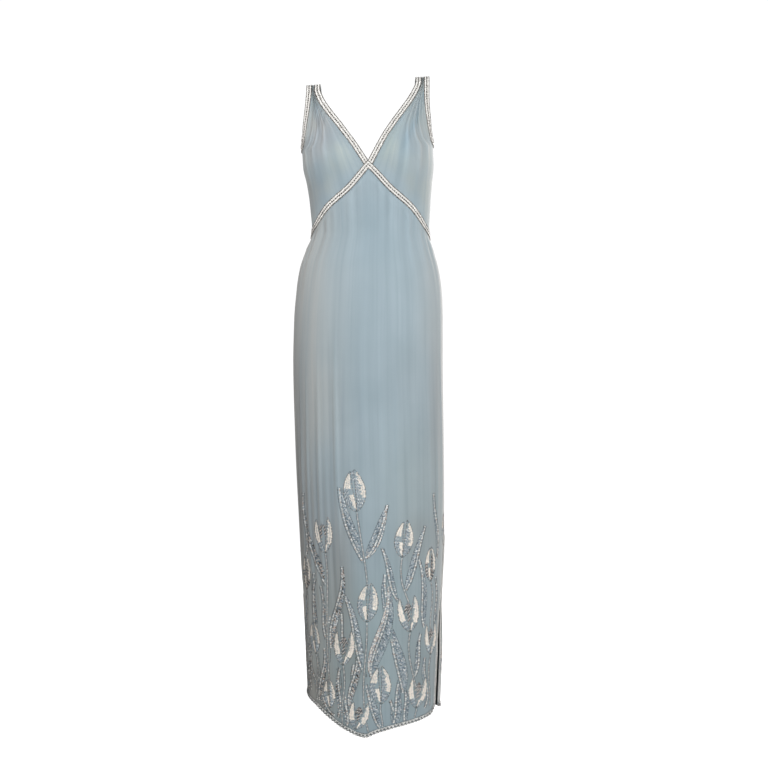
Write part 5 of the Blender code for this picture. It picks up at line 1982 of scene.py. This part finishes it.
def seen_or_lit(tree, lit, seen):
    """A strength for the light that is cast and another for what the camera sees directly."""
    rays = add_node(tree, "ShaderNodeLightPath").outputs["Is Camera Ray"]
    return ranged(tree, rays, (lit, seen), ("To Min", "To Max"))


def make_floor():
    """A white floor just under the hem."""
    mesh = bpy.data.meshes.new("floor")
    ways = ((-1, -1), (1, -1), (1, 1), (-1, 1))
    corners = [(x * FLOOR_HALF, y * FLOOR_HALF, FLOOR_HEIGHT) for x, y in ways]
    mesh.from_pydata(corners, [], [(0, 1, 2, 3)])
    material, tree, shader = new_material("floor_white")
    looks = {
        "Base Color": rgba(FLOOR_COLOUR),
        "Roughness": FLOOR_ROUGHNESS,
        "Emission Color": rgba(WHITE),
        "Emission Strength": seen_or_lit(tree, FLOOR_GLOW, FLOOR_SEEN),
    }
    set_inputs(tree, shader, looks)
    mesh.materials.append(material)
    floor = bpy.data.objects.new("floor", mesh)
    bpy.context.scene.collection.objects.link(floor)


def make_surround():
    """A white world."""
    world = bpy.data.worlds.new("studio")
    bpy.context.scene.world = world
    world.use_nodes = True
    tree = world.node_tree
    looks = {"Color": rgba(WHITE), "Strength": seen_or_lit(tree, AMBIENT, SURROUND_SEEN)}
    set_inputs(tree, tree.nodes["Background"], looks)


def make_camera():
    """A camera that looks straight at the front, at the middle of the gown."""
    camera = bpy.data.objects.new("camera", bpy.data.cameras.new("camera"))
    bpy.context.scene.collection.objects.link(camera)
    camera.location = CAMERA_PLACE
    camera.rotation_euler = (SIDE, 0, 0)
    camera.data.lens = CAMERA_LENS
    camera.data.sensor_width = CAMERA_SENSOR
    bpy.context.scene.camera = camera
    bpy.context.scene.view_settings.view_transform = "Standard"


def make_panels_and_bands():
    """The cloth of the whole gown, by node."""
    cloth = chiffon_material("chiffon_bodice", on_skirt=False)
    skirt_cloth = chiffon_material("chiffon_skirt", on_skirt=True)
    inside = chiffon_material("chiffon_inside", on_skirt=True, shine=INNER_SHINE)
    ground = ribbon_material("band_ground", PALE_SILK)
    hem_ground = ribbon_material("hem_ground", DARK_SILK)
    front = {"left": front_bodice_blocks(LEFT_GATHERS), "right": front_bodice_blocks(RIGHT_GATHERS)}
    back = back_bodice_blocks()
    # But for their gathers, both halves of the front have the same blocks
    half = front["right"]
    waist_turns, _, _ = half["waist"]
    skirt = skirt_blocks(waist_turns[-1])
    return {
        **make_bodice(front, back, cloth, inside),
        **make_skirt(skirt, skirt_cloth, inside),
        **make_upper_ribbons(half, back, ground),
        **make_lower_ribbons(skirt, ground, hem_ground),
    }


def make_beads(name, materials, sew):
    """The bead meshes of what one function sews."""
    tray = Tray()
    sew(tray)
    return tray.make(name, materials)


def main():
    """Make the stage and all pieces of the gown."""
    make_floor()
    make_surround()
    for name, values in LIGHTS.items():
        area_light(name, *values)
    make_camera()
    pieces = make_panels_and_bands()
    beads = {finish: bead_material(finish) for finish in BEAD_FINISHES}
    make_beads("band_beads", beads, sew_upper_bands)
    edges = make_beads("edge_beads", beads, sew_lower_edges)
    front = make_beads("border_front", beads, sew_front_border)
    back = make_beads("border_back", beads, sew_back_border)


main()
